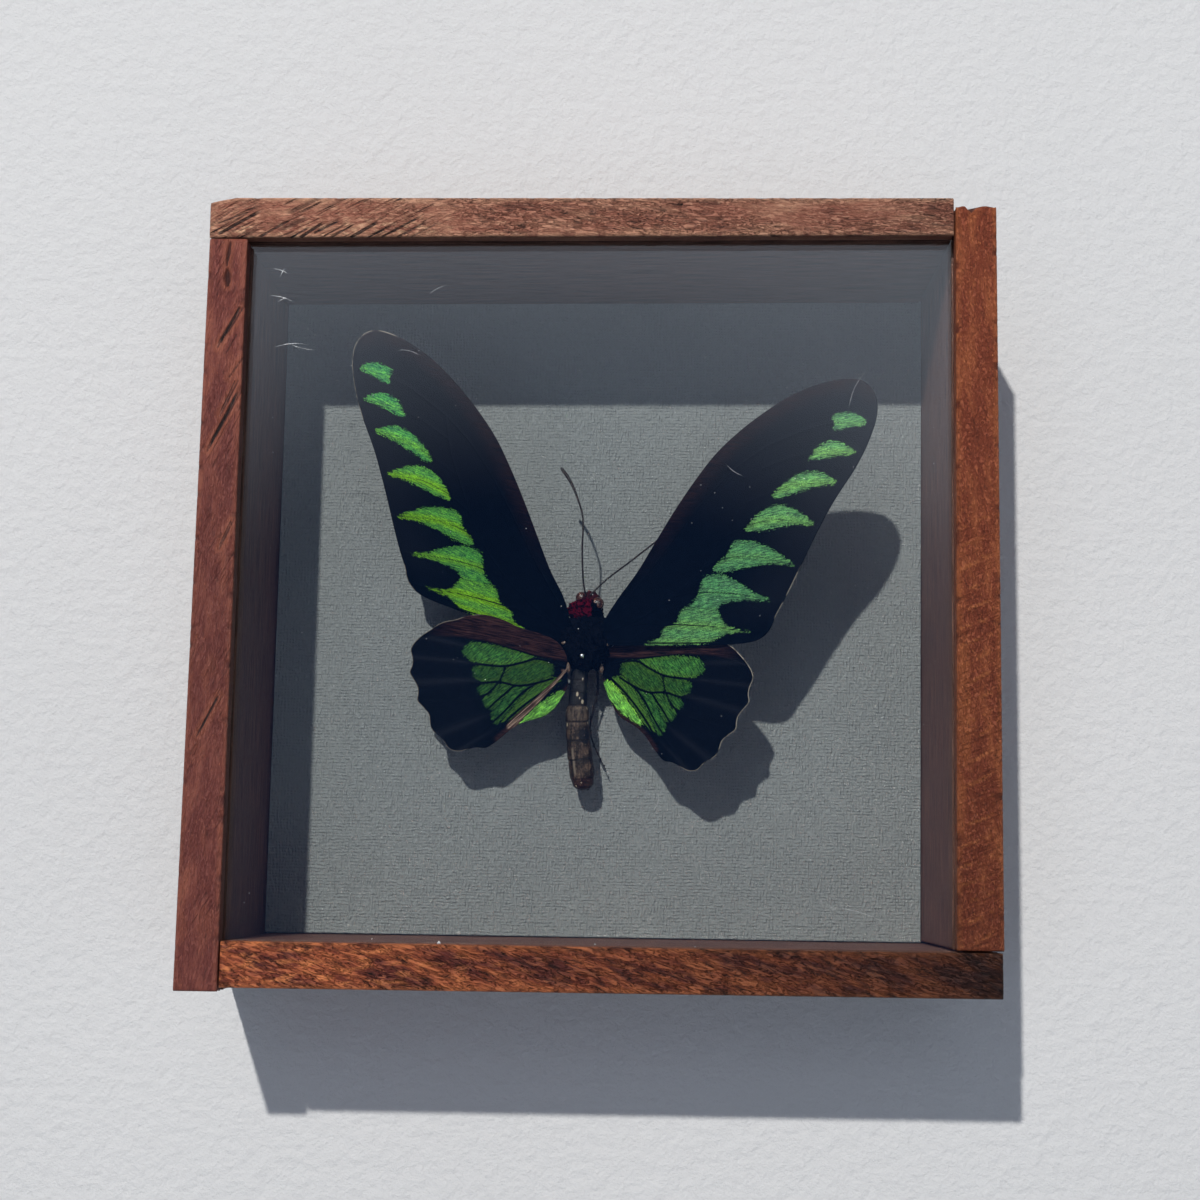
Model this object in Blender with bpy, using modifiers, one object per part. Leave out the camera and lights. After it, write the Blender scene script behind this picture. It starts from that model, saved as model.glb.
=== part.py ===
import math

import bmesh
import bpy
from mathutils import Euler, Matrix, Vector, noise

# Framed butterfly. A deep box of four rough-sawn slats holds a glass pane in a saw groove, and a
# linen-embossed card on a backing board carries a pinned birdwing whose wings are raised.
# Metres. The box lies on its back: +Z out of the glass, +Y towards the insect's head.

MM = 0.001

# Box
BOX_DEPTH = 58.0 * MM
TOUCH_GAP = 0.3 * MM
EDGE_ROUNDING = 0.5 * MM
CORNER_ANGLE = math.radians(35)
SAW_STEP = 13.0 * MM
SAW_WAVE = 16.0 * MM
SAW_WAVER = 0.3 * MM

# Slats seen from the front. They are butted in a pinwheel, and none is cut quite square:
# each long side starts and ends on its own measure.
SLAT_LEFT_OUTER = (-85.2 * MM, -83.7 * MM)
SLAT_LEFT_INNER = (-76.1 * MM, -75.5 * MM)
SLAT_LEFT_ENDS = (-85.0 * MM, 74.4 * MM)
SLAT_TOP_INNER = (74.7 * MM, 76.7 * MM)
SLAT_TOP_OUTER = (83.6 * MM, 85.0 * MM)
SLAT_TOP_ENDS = (-83.9 * MM, 76.15 * MM)
SLAT_TOP_CUT_CORNER = (5.4 * MM, 1.1 * MM)
SLAT_RIGHT_INNER = (75.5 * MM, 76.5 * MM)
SLAT_RIGHT_OUTER = 85.2 * MM
SLAT_RIGHT_ENDS = (-74.55 * MM, 83.5 * MM)
SLAT_RIGHT_NOTCH = (79.8 * MM, 0.9 * MM, 1.6 * MM)
SLAT_BOTTOM_INNER = (-74.7 * MM, -74.9 * MM)
SLAT_BOTTOM_OUTER = -84.2 * MM
SLAT_BOTTOM_ENDS = (-75.8 * MM, 84.9 * MM)
SLAT_SHORTFALL = {"slat_left": 0.0, "slat_top": 0.35 * MM, "slat_right": 0.2 * MM, "slat_bottom": 0.1 * MM}

# Pane, card and board
GLASS_RECESS = 4.2 * MM
GLASS_THICK = 3.0 * MM
GLASS_LEFT_BOTTOM = (-77.8 * MM, -76.6 * MM)
GLASS_RIGHT_TOP = (77.6 * MM, 78.0 * MM)
CARD_THICK = 0.5 * MM
CARD_FACE = 4.5 * MM

# Thorax, collar and head, each placed by its middle; eyes and palps by their offset from the head
THORAX_AT = Vector((-2.3, -7.2, 17.4)) * MM
THORAX_HALF = Vector((3.9, 5.4, 4.0)) * MM
COLLAR_AT = Vector((-2.5, -0.6, 18.2)) * MM
COLLAR_HALF = Vector((2.6, 1.0, 2.6)) * MM
HEAD_AT = Vector((-1.65, 2.0, 18.2)) * MM
HEAD_HALF = Vector((2.0, 1.35, 1.7)) * MM
HEAD_TURN = math.radians(-15)
EYE_HALF = Vector((1.4, 1.4, 1.4)) * MM
EYE_OFFSET = Vector((1.9, 0.0, 0.35)) * MM
PALP_HALF = Vector((0.4, 1.0, 0.5)) * MM
PALP_OFFSET = Vector((0.5, 1.1, -0.2)) * MM

# Abdomen: its middle line, and how its girth changes along it as shares of length and radius
ABDOMEN_LINE = [Vector((-3.5, -13.4, 15.9)) * MM, Vector((-4.1, -26.0, 14.7)) * MM,
                Vector((-2.4, -41.0, 12.4)) * MM]
ABDOMEN_RADIUS = 2.85 * MM
ABDOMEN_SEGMENTS = 8
WAIST_GIRTH = 0.72
WAIST_LENGTH = 0.3
TIP_START = 0.86
TIP_NARROWING = 0.42
SEAM_DEPTH = 0.05

# Antennae and legs, each along a route in millimetres from the body outwards
ANTENNA_RADIUS = 0.22 * MM
CLUB_RADIUS = 0.42 * MM
CLUB_START = 0.66
CLUB_SWELLING = 0.3
ANTENNA_ROUTES = {
    "antenna_left": [(-2.5, 2.6, 20.3), (-3.1, 6.2, 20.9), (-3.4, 13.0, 22.4), (-3.3, 19.7, 23.0),
                     (-4.5, 24.3, 23.2), (-6.3, 28.5, 23.0), (-8.5, 31.7, 22.8)],
    "antenna_right": [(-1.5, 2.8, 20.3), (2.1, 6.3, 20.6), (7.6, 10.5, 21.6), (13.8, 15.4, 22.3),
                      (18.4, 19.2, 22.5), (22.2, 23.0, 22.6)],
}
LEG_HIP_RADIUS = 0.32 * MM
LEG_FOOT_RADIUS = 0.18 * MM
LEG_ROUTES = {
    "leg_front_left": [(-5.0, -3.6, 14.1), (-8.6, -2.6, 12.7), (-11.6, -0.4, 8.7), (-13.4, 1.8, 5.3)],
    "leg_front_right": [(0.6, -3.6, 14.1), (4.4, -2.8, 12.7), (7.6, -0.4, 8.7), (9.6, 1.8, 5.3)],
    "leg_middle_left": [(-6.1, -8.0, 14.1), (-10.6, -9.6, 12.9), (-13.6, -13.6, 8.1), (-15.4, -17.0, 5.3)],
    "leg_middle_right": [(1.5, -8.0, 14.1), (5.8, -9.8, 12.5), (8.8, -14.0, 8.1), (10.6, -17.4, 5.3)],
    "leg_hind_left": [(-4.6, -10.4, 13.1), (-5.8, -16.4, 11.1), (-4.8, -25.0, 8.9), (-4.4, -32.0, 6.5)],
    "leg_hind_right": [(-0.2, -10.6, 13.3), (0.4, -18.0, 11.1), (-1.2, -27.6, 10.1), (2.6, -36.6, 9.4)],
}

# Pin
PIN_AT = (-3.1 * MM, -11.2 * MM)
PIN_RADIUS = 0.25 * MM
PIN_HEAD_RADIUS = 0.65 * MM
PIN_TOP = 22.7 * MM
PIN_POINT = 1.2 * MM

# Wing rims in millimetres, right wing laid flat with its hinge at the origin and +X outward.
# Forewing: hind edge outward, outer margin up to the tip, costal edge back to the body.
WING_THICK = 0.4 * MM
WING_RINGS = 4
WING_RING_CROWDING = 0.9
WING_HUB_OFFSET = Vector((0.5, 0.1))
FOREWING_RIM = [
    (10, -1.7), (20, -2.0), (29, -1.9), (35.5, -1.5), (38.6, -0.4), (40.4, 1.4), (41.8, 4.2),
    (43.6, 7.2), (45.6, 10.8), (47.6, 14.6), (49.8, 18.8), (52.2, 23.2), (55.0, 28.0), (57.6, 31.8),
    (59.6, 34.6), (61.2, 37.2), (62.6, 39.8), (63.9, 42.8), (65.0, 46.2), (65.2, 49.8), (64.0, 52.8),
    (61.4, 54.7), (57.0, 55.0), (51.5, 54.0), (46.0, 52.0), (40.3, 48.9), (34.5, 45.0), (29.0, 40.4),
    (24.2, 35.0), (19.2, 28.6), (14.6, 22.2), (9.4, 14.9), (4.8, 9.6),
]
# Hindwing: inner margin outward, scalloped outer margin, costal edge back to the body.
HINDWING_RIM = [
    (2.2, -7.4), (4.2, -10.4), (6.2, -11.7), (8.6, -13.1), (10.8, -15.2), (12.8, -18.0), (14.0, -19.5),
    (15.3, -20.7), (17.4, -21.1), (19.3, -22.1), (21.2, -23.0), (23.2, -22.9), (24.6, -21.8),
    (25.9, -20.8), (27.9, -19.9), (29.0, -18.4), (29.9, -16.4), (31.7, -15.1), (33.3, -14.0),
    (33.6, -12.4), (34.1, -11.0), (35.5, -9.5), (36.8, -8.1), (36.7, -6.4), (37.1, -4.8), (38.0, -3.0),
    (37.7, -1.3), (36.7, 0.4), (35.3, 2.1), (33.5, 3.9), (31.8, 5.0), (29.5, 5.9), (27.4, 7.0),
    (24.6, 8.1), (21.8, 8.5), (18.2, 8.2), (14.4, 7.4), (9.7, 7.2), (5.6, 6.4),
]
# How each wing was spread: where its hinge sits and how it is turned in degrees, how far its middle
# bulges, the points where it meets the thorax, and where a lifted costal edge starts and how far it goes.
WING_POSES = {
    "forewing_right": {"at": (1.5, -7.2, 20.4), "turn": (7.1, -21.5, -0.5), "crown": 2.0,
                       "hinge": [(1.2, 5.0), (-0.4, 1.8), (0.0, -1.2)]},
    "forewing_left": {"at": (-5.35, -7.5, 19.8), "turn": (28.6, -3.5, -19.0), "crown": 1.2,
                      "hinge": [(2.2, 5.2), (1.4, 2.0), (1.8, -1.4)]},
    "hindwing_right": {"at": (1.4, -14.1, 16.4), "turn": (6.0, -28.8, 0.0), "crown": 0.2,
                       "hinge": [(1.6, 4.6), (0.4, 1.4), (0.4, -2.8)]},
    "hindwing_left": {"at": (-4.8, -15.8, 19.6), "turn": (-4.8, -4.2, -13.5), "crown": 0.4,
                      "hinge": [(3.0, 4.2), (1.8, 0.7), (1.0, -2.6)],
                      "lift": {"start": 2.6, "height": 2.6, "width": 4.5}},
}


def clear_scene():
    for old in list(bpy.data.objects):
        bpy.data.objects.remove(old, do_unlink=True)


def new_collection(name):
    group = bpy.data.collections.new(name)
    bpy.context.scene.collection.children.link(group)
    return group


def material(name, colour, roughness, metallic=0.0, transmission=0.0):
    mat = bpy.data.materials.new(name)
    mat.use_nodes = True
    shader = mat.node_tree.nodes["Principled BSDF"]
    shader.inputs["Base Color"].default_value = (*colour, 1.0)
    shader.inputs["Roughness"].default_value = roughness
    shader.inputs["Metallic"].default_value = metallic
    shader.inputs["Transmission Weight"].default_value = transmission
    return mat


def add_object(name, data, mat, group):
    obj = bpy.data.objects.new(name, data)
    group.objects.link(obj)
    if mat:
        data.materials.append(mat)
    return obj


def mesh_object(name, bm, mat, group):
    mesh = bpy.data.meshes.new(name)
    bm.to_mesh(mesh)
    bm.free()
    return add_object(name, mesh, mat, group)


def as_mesh(obj, mat, group):
    """Turn a curve object into a welded mesh object of the same name and place."""
    bpy.context.view_layer.update()
    evaluated = obj.evaluated_get(bpy.context.evaluated_depsgraph_get())
    mesh = bpy.data.meshes.new_from_object(evaluated)
    name, place = obj.name, obj.matrix_world.copy()
    bpy.data.objects.remove(obj)
    bm = bmesh.new()
    bm.from_mesh(mesh)
    bmesh.ops.remove_doubles(bm, verts=bm.verts, dist=0.00001)
    bmesh.ops.recalc_face_normals(bm, faces=bm.faces)
    bm.to_mesh(mesh)
    bm.free()
    mesh.materials.clear()
    solid = add_object(name, mesh, mat, group)
    solid.matrix_world = place
    return solid


def plate(name, outline, low, high, mat, group):
    """A flat outline with upright sides between two heights."""
    curve = bpy.data.curves.new(name, "CURVE")
    curve.dimensions = "2D"
    curve.fill_mode = "BOTH"
    curve.extrude = (high - low) / 2
    spline = curve.splines.new("POLY")
    spline.points.add(len(outline) - 1)
    for point, (x, y) in zip(spline.points, outline):
        point.co = (x, y, 0, 1)
    spline.use_cyclic_u = True
    obj = add_object(name, curve, None, group)
    obj.location.z = (low + high) / 2
    return as_mesh(obj, mat, group)


def strand(name, points, radii, roundness, mat, group):
    """A round strand along the points, with its own radius at each of them."""
    curve = bpy.data.curves.new(name, "CURVE")
    curve.dimensions = "3D"
    curve.bevel_depth = 1.0
    curve.bevel_resolution = roundness
    curve.use_fill_caps = True
    spline = curve.splines.new("POLY")
    spline.points.add(len(points) - 1)
    for point, place, radius in zip(spline.points, points, radii):
        point.co = (*place, 1)
        point.radius = radius
    return as_mesh(add_object(name, curve, None, group), mat, group)


def smooth_path(points, steps):
    """Points on a smooth curve that passes through the given ones."""
    path = []
    for i in range(len(points) - 1):
        before = points[max(i - 1, 0)]
        after = points[min(i + 2, len(points) - 1)]
        start, end = points[i], points[i + 1]
        for k in range(steps):
            t = k / steps
            bend = 2 * start + (end - before) * t
            bend += (2 * before - 5 * start + 4 * end - after) * t ** 2
            bend += (3 * start - before - 3 * end + after) * t ** 3
            path.append(bend / 2)
    path.append(points[-1])
    return path


def box(name, low, high, mat, group):
    bm = bmesh.new()
    low, high = Vector(low), Vector(high)
    size = Matrix.Diagonal((*(high - low), 1))
    bmesh.ops.create_cube(bm, size=1.0, matrix=Matrix.Translation((low + high) / 2) @ size)
    return mesh_object(name, bm, mat, group)


def rod(name, centre, radius, low, high, sides, mat, group):
    bm = bmesh.new()
    place = Matrix.Translation((*centre, (low + high) / 2))
    bmesh.ops.create_cone(bm, cap_ends=True, segments=sides, radius1=radius, radius2=radius,
                          depth=high - low, matrix=place)
    return mesh_object(name, bm, mat, group)


def ball(name, centre, half, columns, rows, mat, group):
    bm = bmesh.new()
    bmesh.ops.create_uvsphere(bm, u_segments=columns, v_segments=rows, radius=1.0,
                              matrix=Matrix.Translation(centre) @ Matrix.Diagonal((*half, 1)))
    obj = mesh_object(name, bm, mat, group)
    obj.data.shade_smooth()
    return obj


def cut(obj, cutter, operation="DIFFERENCE"):
    step = obj.modifiers.new(cutter.name, "BOOLEAN")
    step.operation = operation
    step.object = cutter
    cutter.hide_render = True
    cutter.display_type = "WIRE"


def sawn_side(start, end):
    """A long side with the slight waver that a rip saw eats into it; its ends stay put."""
    start, end = Vector(start), Vector(end)
    along = end - start
    count = max(1, round(along.length / SAW_STEP))
    inward = Vector((-along.y, along.x)).normalized()
    side = [start]
    for i in range(1, count):
        point = start + along * (i / count)
        bite = abs(noise.noise(Vector((point.x, point.y, 0)) / SAW_WAVE))
        side.append(point + inward * bite * SAW_WAVER)
    return side


def slat(name, corners, sawn_from, wood, group, groove):
    """An upright plank. The side that starts at corner number sawn_from is the outer, sawn one."""
    outline = []
    for i, corner in enumerate(corners):
        following = corners[(i + 1) % len(corners)]
        outline += sawn_side(corner, following) if i == sawn_from else [corner]
    obj = plate(name, outline, 0.0, BOX_DEPTH - SLAT_SHORTFALL[name], wood, group)
    bevel = obj.modifiers.new("worn_edges", "BEVEL")
    bevel.width = EDGE_ROUNDING
    bevel.segments = 2
    bevel.limit_method = "ANGLE"
    bevel.angle_limit = CORNER_ANGLE
    cut(obj, groove)
    return obj


def build_left_slat(group, groove):
    wood = material("mahogany_stained_pine", (0.22, 0.062, 0.028), 0.55)
    low, high = SLAT_LEFT_ENDS
    slat("slat_left",
         [(SLAT_LEFT_INNER[0], low), (SLAT_LEFT_INNER[1], high),
          (SLAT_LEFT_OUTER[1], high), (SLAT_LEFT_OUTER[0], low)],
         2, wood, group, groove)


def build_top_slat(group, groove):
    wood = material("worn_stained_pine", (0.33, 0.13, 0.06), 0.5)
    left, right = SLAT_TOP_ENDS
    cut_along, cut_down = SLAT_TOP_CUT_CORNER
    slat("slat_top",
         [(left, SLAT_TOP_INNER[0]), (right, SLAT_TOP_INNER[1]), (right, SLAT_TOP_OUTER[1]),
          (left + cut_along, SLAT_TOP_OUTER[0]), (left, SLAT_TOP_OUTER[0] - cut_down)],
         2, wood, group, groove)


def build_right_slat(group, groove):
    wood = material("orange_stained_pine", (0.30, 0.095, 0.034), 0.6)
    low, high = SLAT_RIGHT_ENDS
    notch_at, notch_half, notch_deep = SLAT_RIGHT_NOTCH
    slat("slat_right",
         [(SLAT_RIGHT_INNER[0], low), (SLAT_RIGHT_OUTER, low), (SLAT_RIGHT_OUTER, high),
          (notch_at + notch_half, high), (notch_at, high - notch_deep),
          (notch_at - notch_half, high), (SLAT_RIGHT_INNER[1], high)],
         1, wood, group, groove)


def build_bottom_slat(group, groove):
    wood = material("flecked_stained_pine", (0.28, 0.09, 0.034), 0.6)
    left, right = SLAT_BOTTOM_ENDS
    slat("slat_bottom",
         [(left, SLAT_BOTTOM_OUTER), (right, SLAT_BOTTOM_OUTER),
          (right, SLAT_BOTTOM_INNER[1]), (left, SLAT_BOTTOM_INNER[0])],
         0, wood, group, groove)


def opening_plan():
    """The inside of the four slats, drawn in by the gap that touching pieces keep."""
    gap = TOUCH_GAP
    left, right = SLAT_LEFT_INNER, SLAT_RIGHT_INNER
    bottom, top = SLAT_BOTTOM_INNER, SLAT_TOP_INNER
    return [(left[0] + gap, bottom[0] + gap), (right[0] - gap, bottom[1] + gap),
            (right[1] - gap, top[1] - gap), (left[1] + gap, top[0] - gap)]


def groove_cutter(cutters):
    """The saw kerf that holds the pane, a little larger than the glass all round."""
    gap = TOUCH_GAP
    left, bottom = GLASS_LEFT_BOTTOM
    right, top = GLASS_RIGHT_TOP
    high = BOX_DEPTH - GLASS_RECESS
    return box("pane_groove", (left - gap, bottom - gap, high - GLASS_THICK - gap),
               (right + gap, top + gap, high + gap), None, cutters)


def build_pane(group):
    glass = material("window_glass", (0.93, 0.95, 0.95), 0.02, transmission=1.0)
    high = BOX_DEPTH - GLASS_RECESS
    box("glass_pane", (*GLASS_LEFT_BOTTOM, high - GLASS_THICK), (*GLASS_RIGHT_TOP, high), glass, group)


def build_back(group, pin_hole):
    card = material("grey_linen_card", (0.22, 0.25, 0.26), 0.9)
    board = material("fibre_board", (0.33, 0.22, 0.13), 0.85)
    card_back = CARD_FACE - CARD_THICK
    linen = plate("linen_card", opening_plan(), card_back, CARD_FACE, card, group)
    back = plate("backing_board", opening_plan(), 0.0, card_back - TOUCH_GAP, board, group)
    cut(linen, pin_hole)
    cut(back, pin_hole)


def wing(name, rim, mirrored, mat, group):
    """A thin cambered blade, fanned out in rings from its hinge to its rim."""
    pose = WING_POSES[name]
    hinge = [Vector(p) for p in pose["hinge"]]
    edge = hinge + [Vector(p) for p in rim]
    hub = sum(hinge, Vector((0, 0))) / len(hinge) + WING_HUB_OFFSET
    reach = max(p.length for p in edge)
    lift = pose.get("lift")

    def place(p):
        height = pose["crown"] * math.sin(math.pi * min(1.0, p.length / reach))
        if lift:
            height += lift["height"] * min(1.0, max(0.0, (p.y - lift["start"]) / lift["width"]))
        return Vector((-p.x if mirrored else p.x, p.y, height)) * MM

    bm = bmesh.new()
    middle = bm.verts.new(place(hub))
    loops = []
    for ring in range(1, WING_RINGS + 1):
        share = (ring / WING_RINGS) ** WING_RING_CROWDING
        loops.append([bm.verts.new(place(hub.lerp(p, share))) for p in edge])
    for i in range(len(edge)):
        following = (i + 1) % len(edge)
        bm.faces.new((middle, loops[0][i], loops[0][following]))
        for inner, outer in zip(loops, loops[1:]):
            bm.faces.new((inner[i], outer[i], outer[following], inner[following]))
    bmesh.ops.recalc_face_normals(bm, faces=bm.faces)
    obj = mesh_object(name, bm, mat, group)
    obj.location = Vector(pose["at"]) * MM
    obj.rotation_euler = Euler([math.radians(angle) for angle in pose["turn"]])
    shell = obj.modifiers.new("wing_thickness", "SOLIDIFY")
    shell.thickness = WING_THICK
    shell.offset = 0.0
    obj.data.shade_smooth()


def build_wings(group):
    emerald = material("black_emerald_forewing", (0.012, 0.016, 0.022), 0.45)
    lime = material("black_lime_forewing", (0.013, 0.015, 0.018), 0.45)
    hind = material("black_green_hindwing", (0.016, 0.018, 0.016), 0.5)
    wing("forewing_right", FOREWING_RIM, False, emerald, group)
    wing("forewing_left", FOREWING_RIM, True, lime, group)
    wing("hindwing_right", HINDWING_RIM, False, hind, group)
    wing("hindwing_left", HINDWING_RIM, True, hind, group)


def build_thorax(group, pin_hole):
    hair = material("black_thorax_hair", (0.012, 0.012, 0.014), 0.7)
    thorax = ball("thorax", THORAX_AT, THORAX_HALF, 20, 14, hair, group)
    cut(thorax, pin_hole)


def build_collar(group):
    hair = material("crimson_collar_hair", (0.32, 0.03, 0.05), 0.8)
    ball("collar", COLLAR_AT, COLLAR_HALF, 18, 10, hair, group)


def build_head(group, cutters):
    """The head with its two round eyes and the palps between them."""
    brown = material("brown_head", (0.10, 0.04, 0.02), 0.35)
    head = ball("head", HEAD_AT, HEAD_HALF, 16, 10, brown, group)
    turn = Matrix.Rotation(HEAD_TURN, 3, "Z")
    for label, side in (("left", -1), ("right", 1)):
        across = turn @ Matrix.Diagonal((side, 1, 1))
        eye = ball("eye_" + label, HEAD_AT + across @ EYE_OFFSET, EYE_HALF, 14, 10, None, cutters)
        palp = ball("palp_" + label, HEAD_AT + across @ PALP_OFFSET, PALP_HALF, 10, 8, None, cutters)
        cut(head, eye, "UNION")
        cut(head, palp, "UNION")


def build_abdomen(group):
    """Rings that each swell a little between two seams, from the waist down to the blunt claspers."""
    brown = material("brown_abdomen", (0.10, 0.07, 0.05), 0.6)
    line = smooth_path(ABDOMEN_LINE, 24)
    radii = []
    for i in range(len(line)):
        along = i / (len(line) - 1)
        waist = WAIST_GIRTH + (1 - WAIST_GIRTH) * min(1.0, along / WAIST_LENGTH)
        tip = 1.0 - TIP_NARROWING * max(0.0, (along - TIP_START) / (1 - TIP_START)) ** 1.6
        seam = SEAM_DEPTH * (1 - abs(math.sin(math.pi * ABDOMEN_SEGMENTS * along)))
        radii.append(ABDOMEN_RADIUS * (waist * tip - seam))
    strand("abdomen", line, radii, 5, brown, group)


def build_antennae(group):
    """Two fine rods that thicken into a slender club over their last third."""
    horn = material("black_antenna", (0.02, 0.013, 0.010), 0.4)
    for name, route in ANTENNA_ROUTES.items():
        line = smooth_path([Vector(p) * MM for p in route], 4)
        last = len(line) - 1
        radii = []
        for i in range(last):
            swelling = max(0.0, (i / last - CLUB_START) / CLUB_SWELLING)
            radii.append(ANTENNA_RADIUS + (CLUB_RADIUS - ANTENNA_RADIUS) * swelling)
        radii.append(ANTENNA_RADIUS)
        strand(name, line, radii, 1, horn, group)


def build_legs(group):
    """Six thin legs folded under the body; only the right hind one shows beside the abdomen."""
    horn = material("dark_leg", (0.03, 0.02, 0.016), 0.45)
    for name, route in LEG_ROUTES.items():
        line = smooth_path([Vector(p) * MM for p in route], 3)
        last = len(line) - 1
        taper = LEG_FOOT_RADIUS - LEG_HIP_RADIUS
        radii = [LEG_HIP_RADIUS + taper * i / last for i in range(len(line))]
        strand(name, line, radii, 1, horn, group)


def build_pin(group, cutters):
    """A steel pin with a small round head, through the thorax and card into the board."""
    steel = material("pin_steel", (0.75, 0.76, 0.78), 0.25, metallic=1.0)
    head_at = PIN_TOP - PIN_HEAD_RADIUS
    pin = rod("insect_pin", PIN_AT, PIN_RADIUS, PIN_POINT + TOUCH_GAP, head_at, 10, steel, group)
    knob_half = Vector((PIN_HEAD_RADIUS, PIN_HEAD_RADIUS, PIN_HEAD_RADIUS))
    knob = ball("pin_head", Vector((*PIN_AT, head_at)), knob_half, 12, 8, None, cutters)
    cut(pin, knob, "UNION")


def main():
    clear_scene()
    parts = new_collection("framed_butterfly")
    cutters = new_collection("cutters")
    groove = groove_cutter(cutters)
    pin_hole = rod("pin_hole", PIN_AT, PIN_RADIUS + TOUCH_GAP, PIN_POINT, PIN_TOP, 12, None, cutters)
    build_left_slat(parts, groove)
    build_top_slat(parts, groove)
    build_right_slat(parts, groove)
    build_bottom_slat(parts, groove)
    build_pane(parts)
    build_back(parts, pin_hole)
    build_thorax(parts, pin_hole)
    build_collar(parts)
    build_head(parts, cutters)
    build_abdomen(parts)
    build_wings(parts)
    build_antennae(parts)
    build_legs(parts)
    build_pin(parts, cutters)


main()
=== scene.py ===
import math

import bmesh
import bpy
import numpy as np
from mathutils import Euler, Matrix, Vector, noise


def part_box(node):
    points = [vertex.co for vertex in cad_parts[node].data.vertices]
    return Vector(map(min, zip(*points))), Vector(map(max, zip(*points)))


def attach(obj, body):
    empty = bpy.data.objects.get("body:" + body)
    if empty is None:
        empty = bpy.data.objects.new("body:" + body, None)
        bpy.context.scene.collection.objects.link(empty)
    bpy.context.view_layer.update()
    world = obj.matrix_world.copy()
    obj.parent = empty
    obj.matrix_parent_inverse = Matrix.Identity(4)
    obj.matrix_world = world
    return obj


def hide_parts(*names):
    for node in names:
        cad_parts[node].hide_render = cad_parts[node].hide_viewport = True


# Framed birdwing butterfly: rough stained slats, glass front, grey linen card, pinned insect.
# Metres in the scene, millimetres in the dictionaries.
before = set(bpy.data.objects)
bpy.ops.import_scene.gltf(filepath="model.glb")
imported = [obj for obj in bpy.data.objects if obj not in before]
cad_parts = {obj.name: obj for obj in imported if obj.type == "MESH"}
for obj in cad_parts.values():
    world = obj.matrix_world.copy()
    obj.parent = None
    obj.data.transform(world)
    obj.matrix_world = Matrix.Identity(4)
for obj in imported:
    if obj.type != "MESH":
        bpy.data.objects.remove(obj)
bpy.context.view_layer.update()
mm = 0.001
print("frame loaded:", len(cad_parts), "nodes")


# Shader maths

class Wire:
    # a socket that can be added to, multiplied and so on, also as 1 - wire
    def __init__(self, finish, socket):
        self.finish = finish
        self.socket = socket

    def maths(self, operation, *values, clamp=False):
        return self.finish.node("Math", {"operation": operation, "use_clamp": clamp}, values)

    def __add__(self, other):
        return self.maths("ADD", self, other)

    def __sub__(self, other):
        return self.maths("SUBTRACT", self, other)

    def __rsub__(self, other):
        return self.maths("SUBTRACT", other, self)

    def __mul__(self, other):
        return self.maths("MULTIPLY", self, other)

    def __truediv__(self, other):
        return self.maths("DIVIDE", self, other)

    def __pow__(self, other):
        return self.maths("POWER", self, other)

    __radd__ = __add__
    __rmul__ = __mul__

    def clamped(self):
        return self.maths("ADD", self, 0.0, clamp=True)

    def size(self):
        return self.maths("ABSOLUTE", self)

    def sine(self):
        return self.maths("SINE", self)

    def step(self, low, high, start=0.0, end=1.0):
        # smooth rise from start at low to end at high
        settings = {"interpolation_type": "SMOOTHSTEP"}
        return self.finish.node("MapRange", settings, [self, low, high, start, end])


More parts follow.
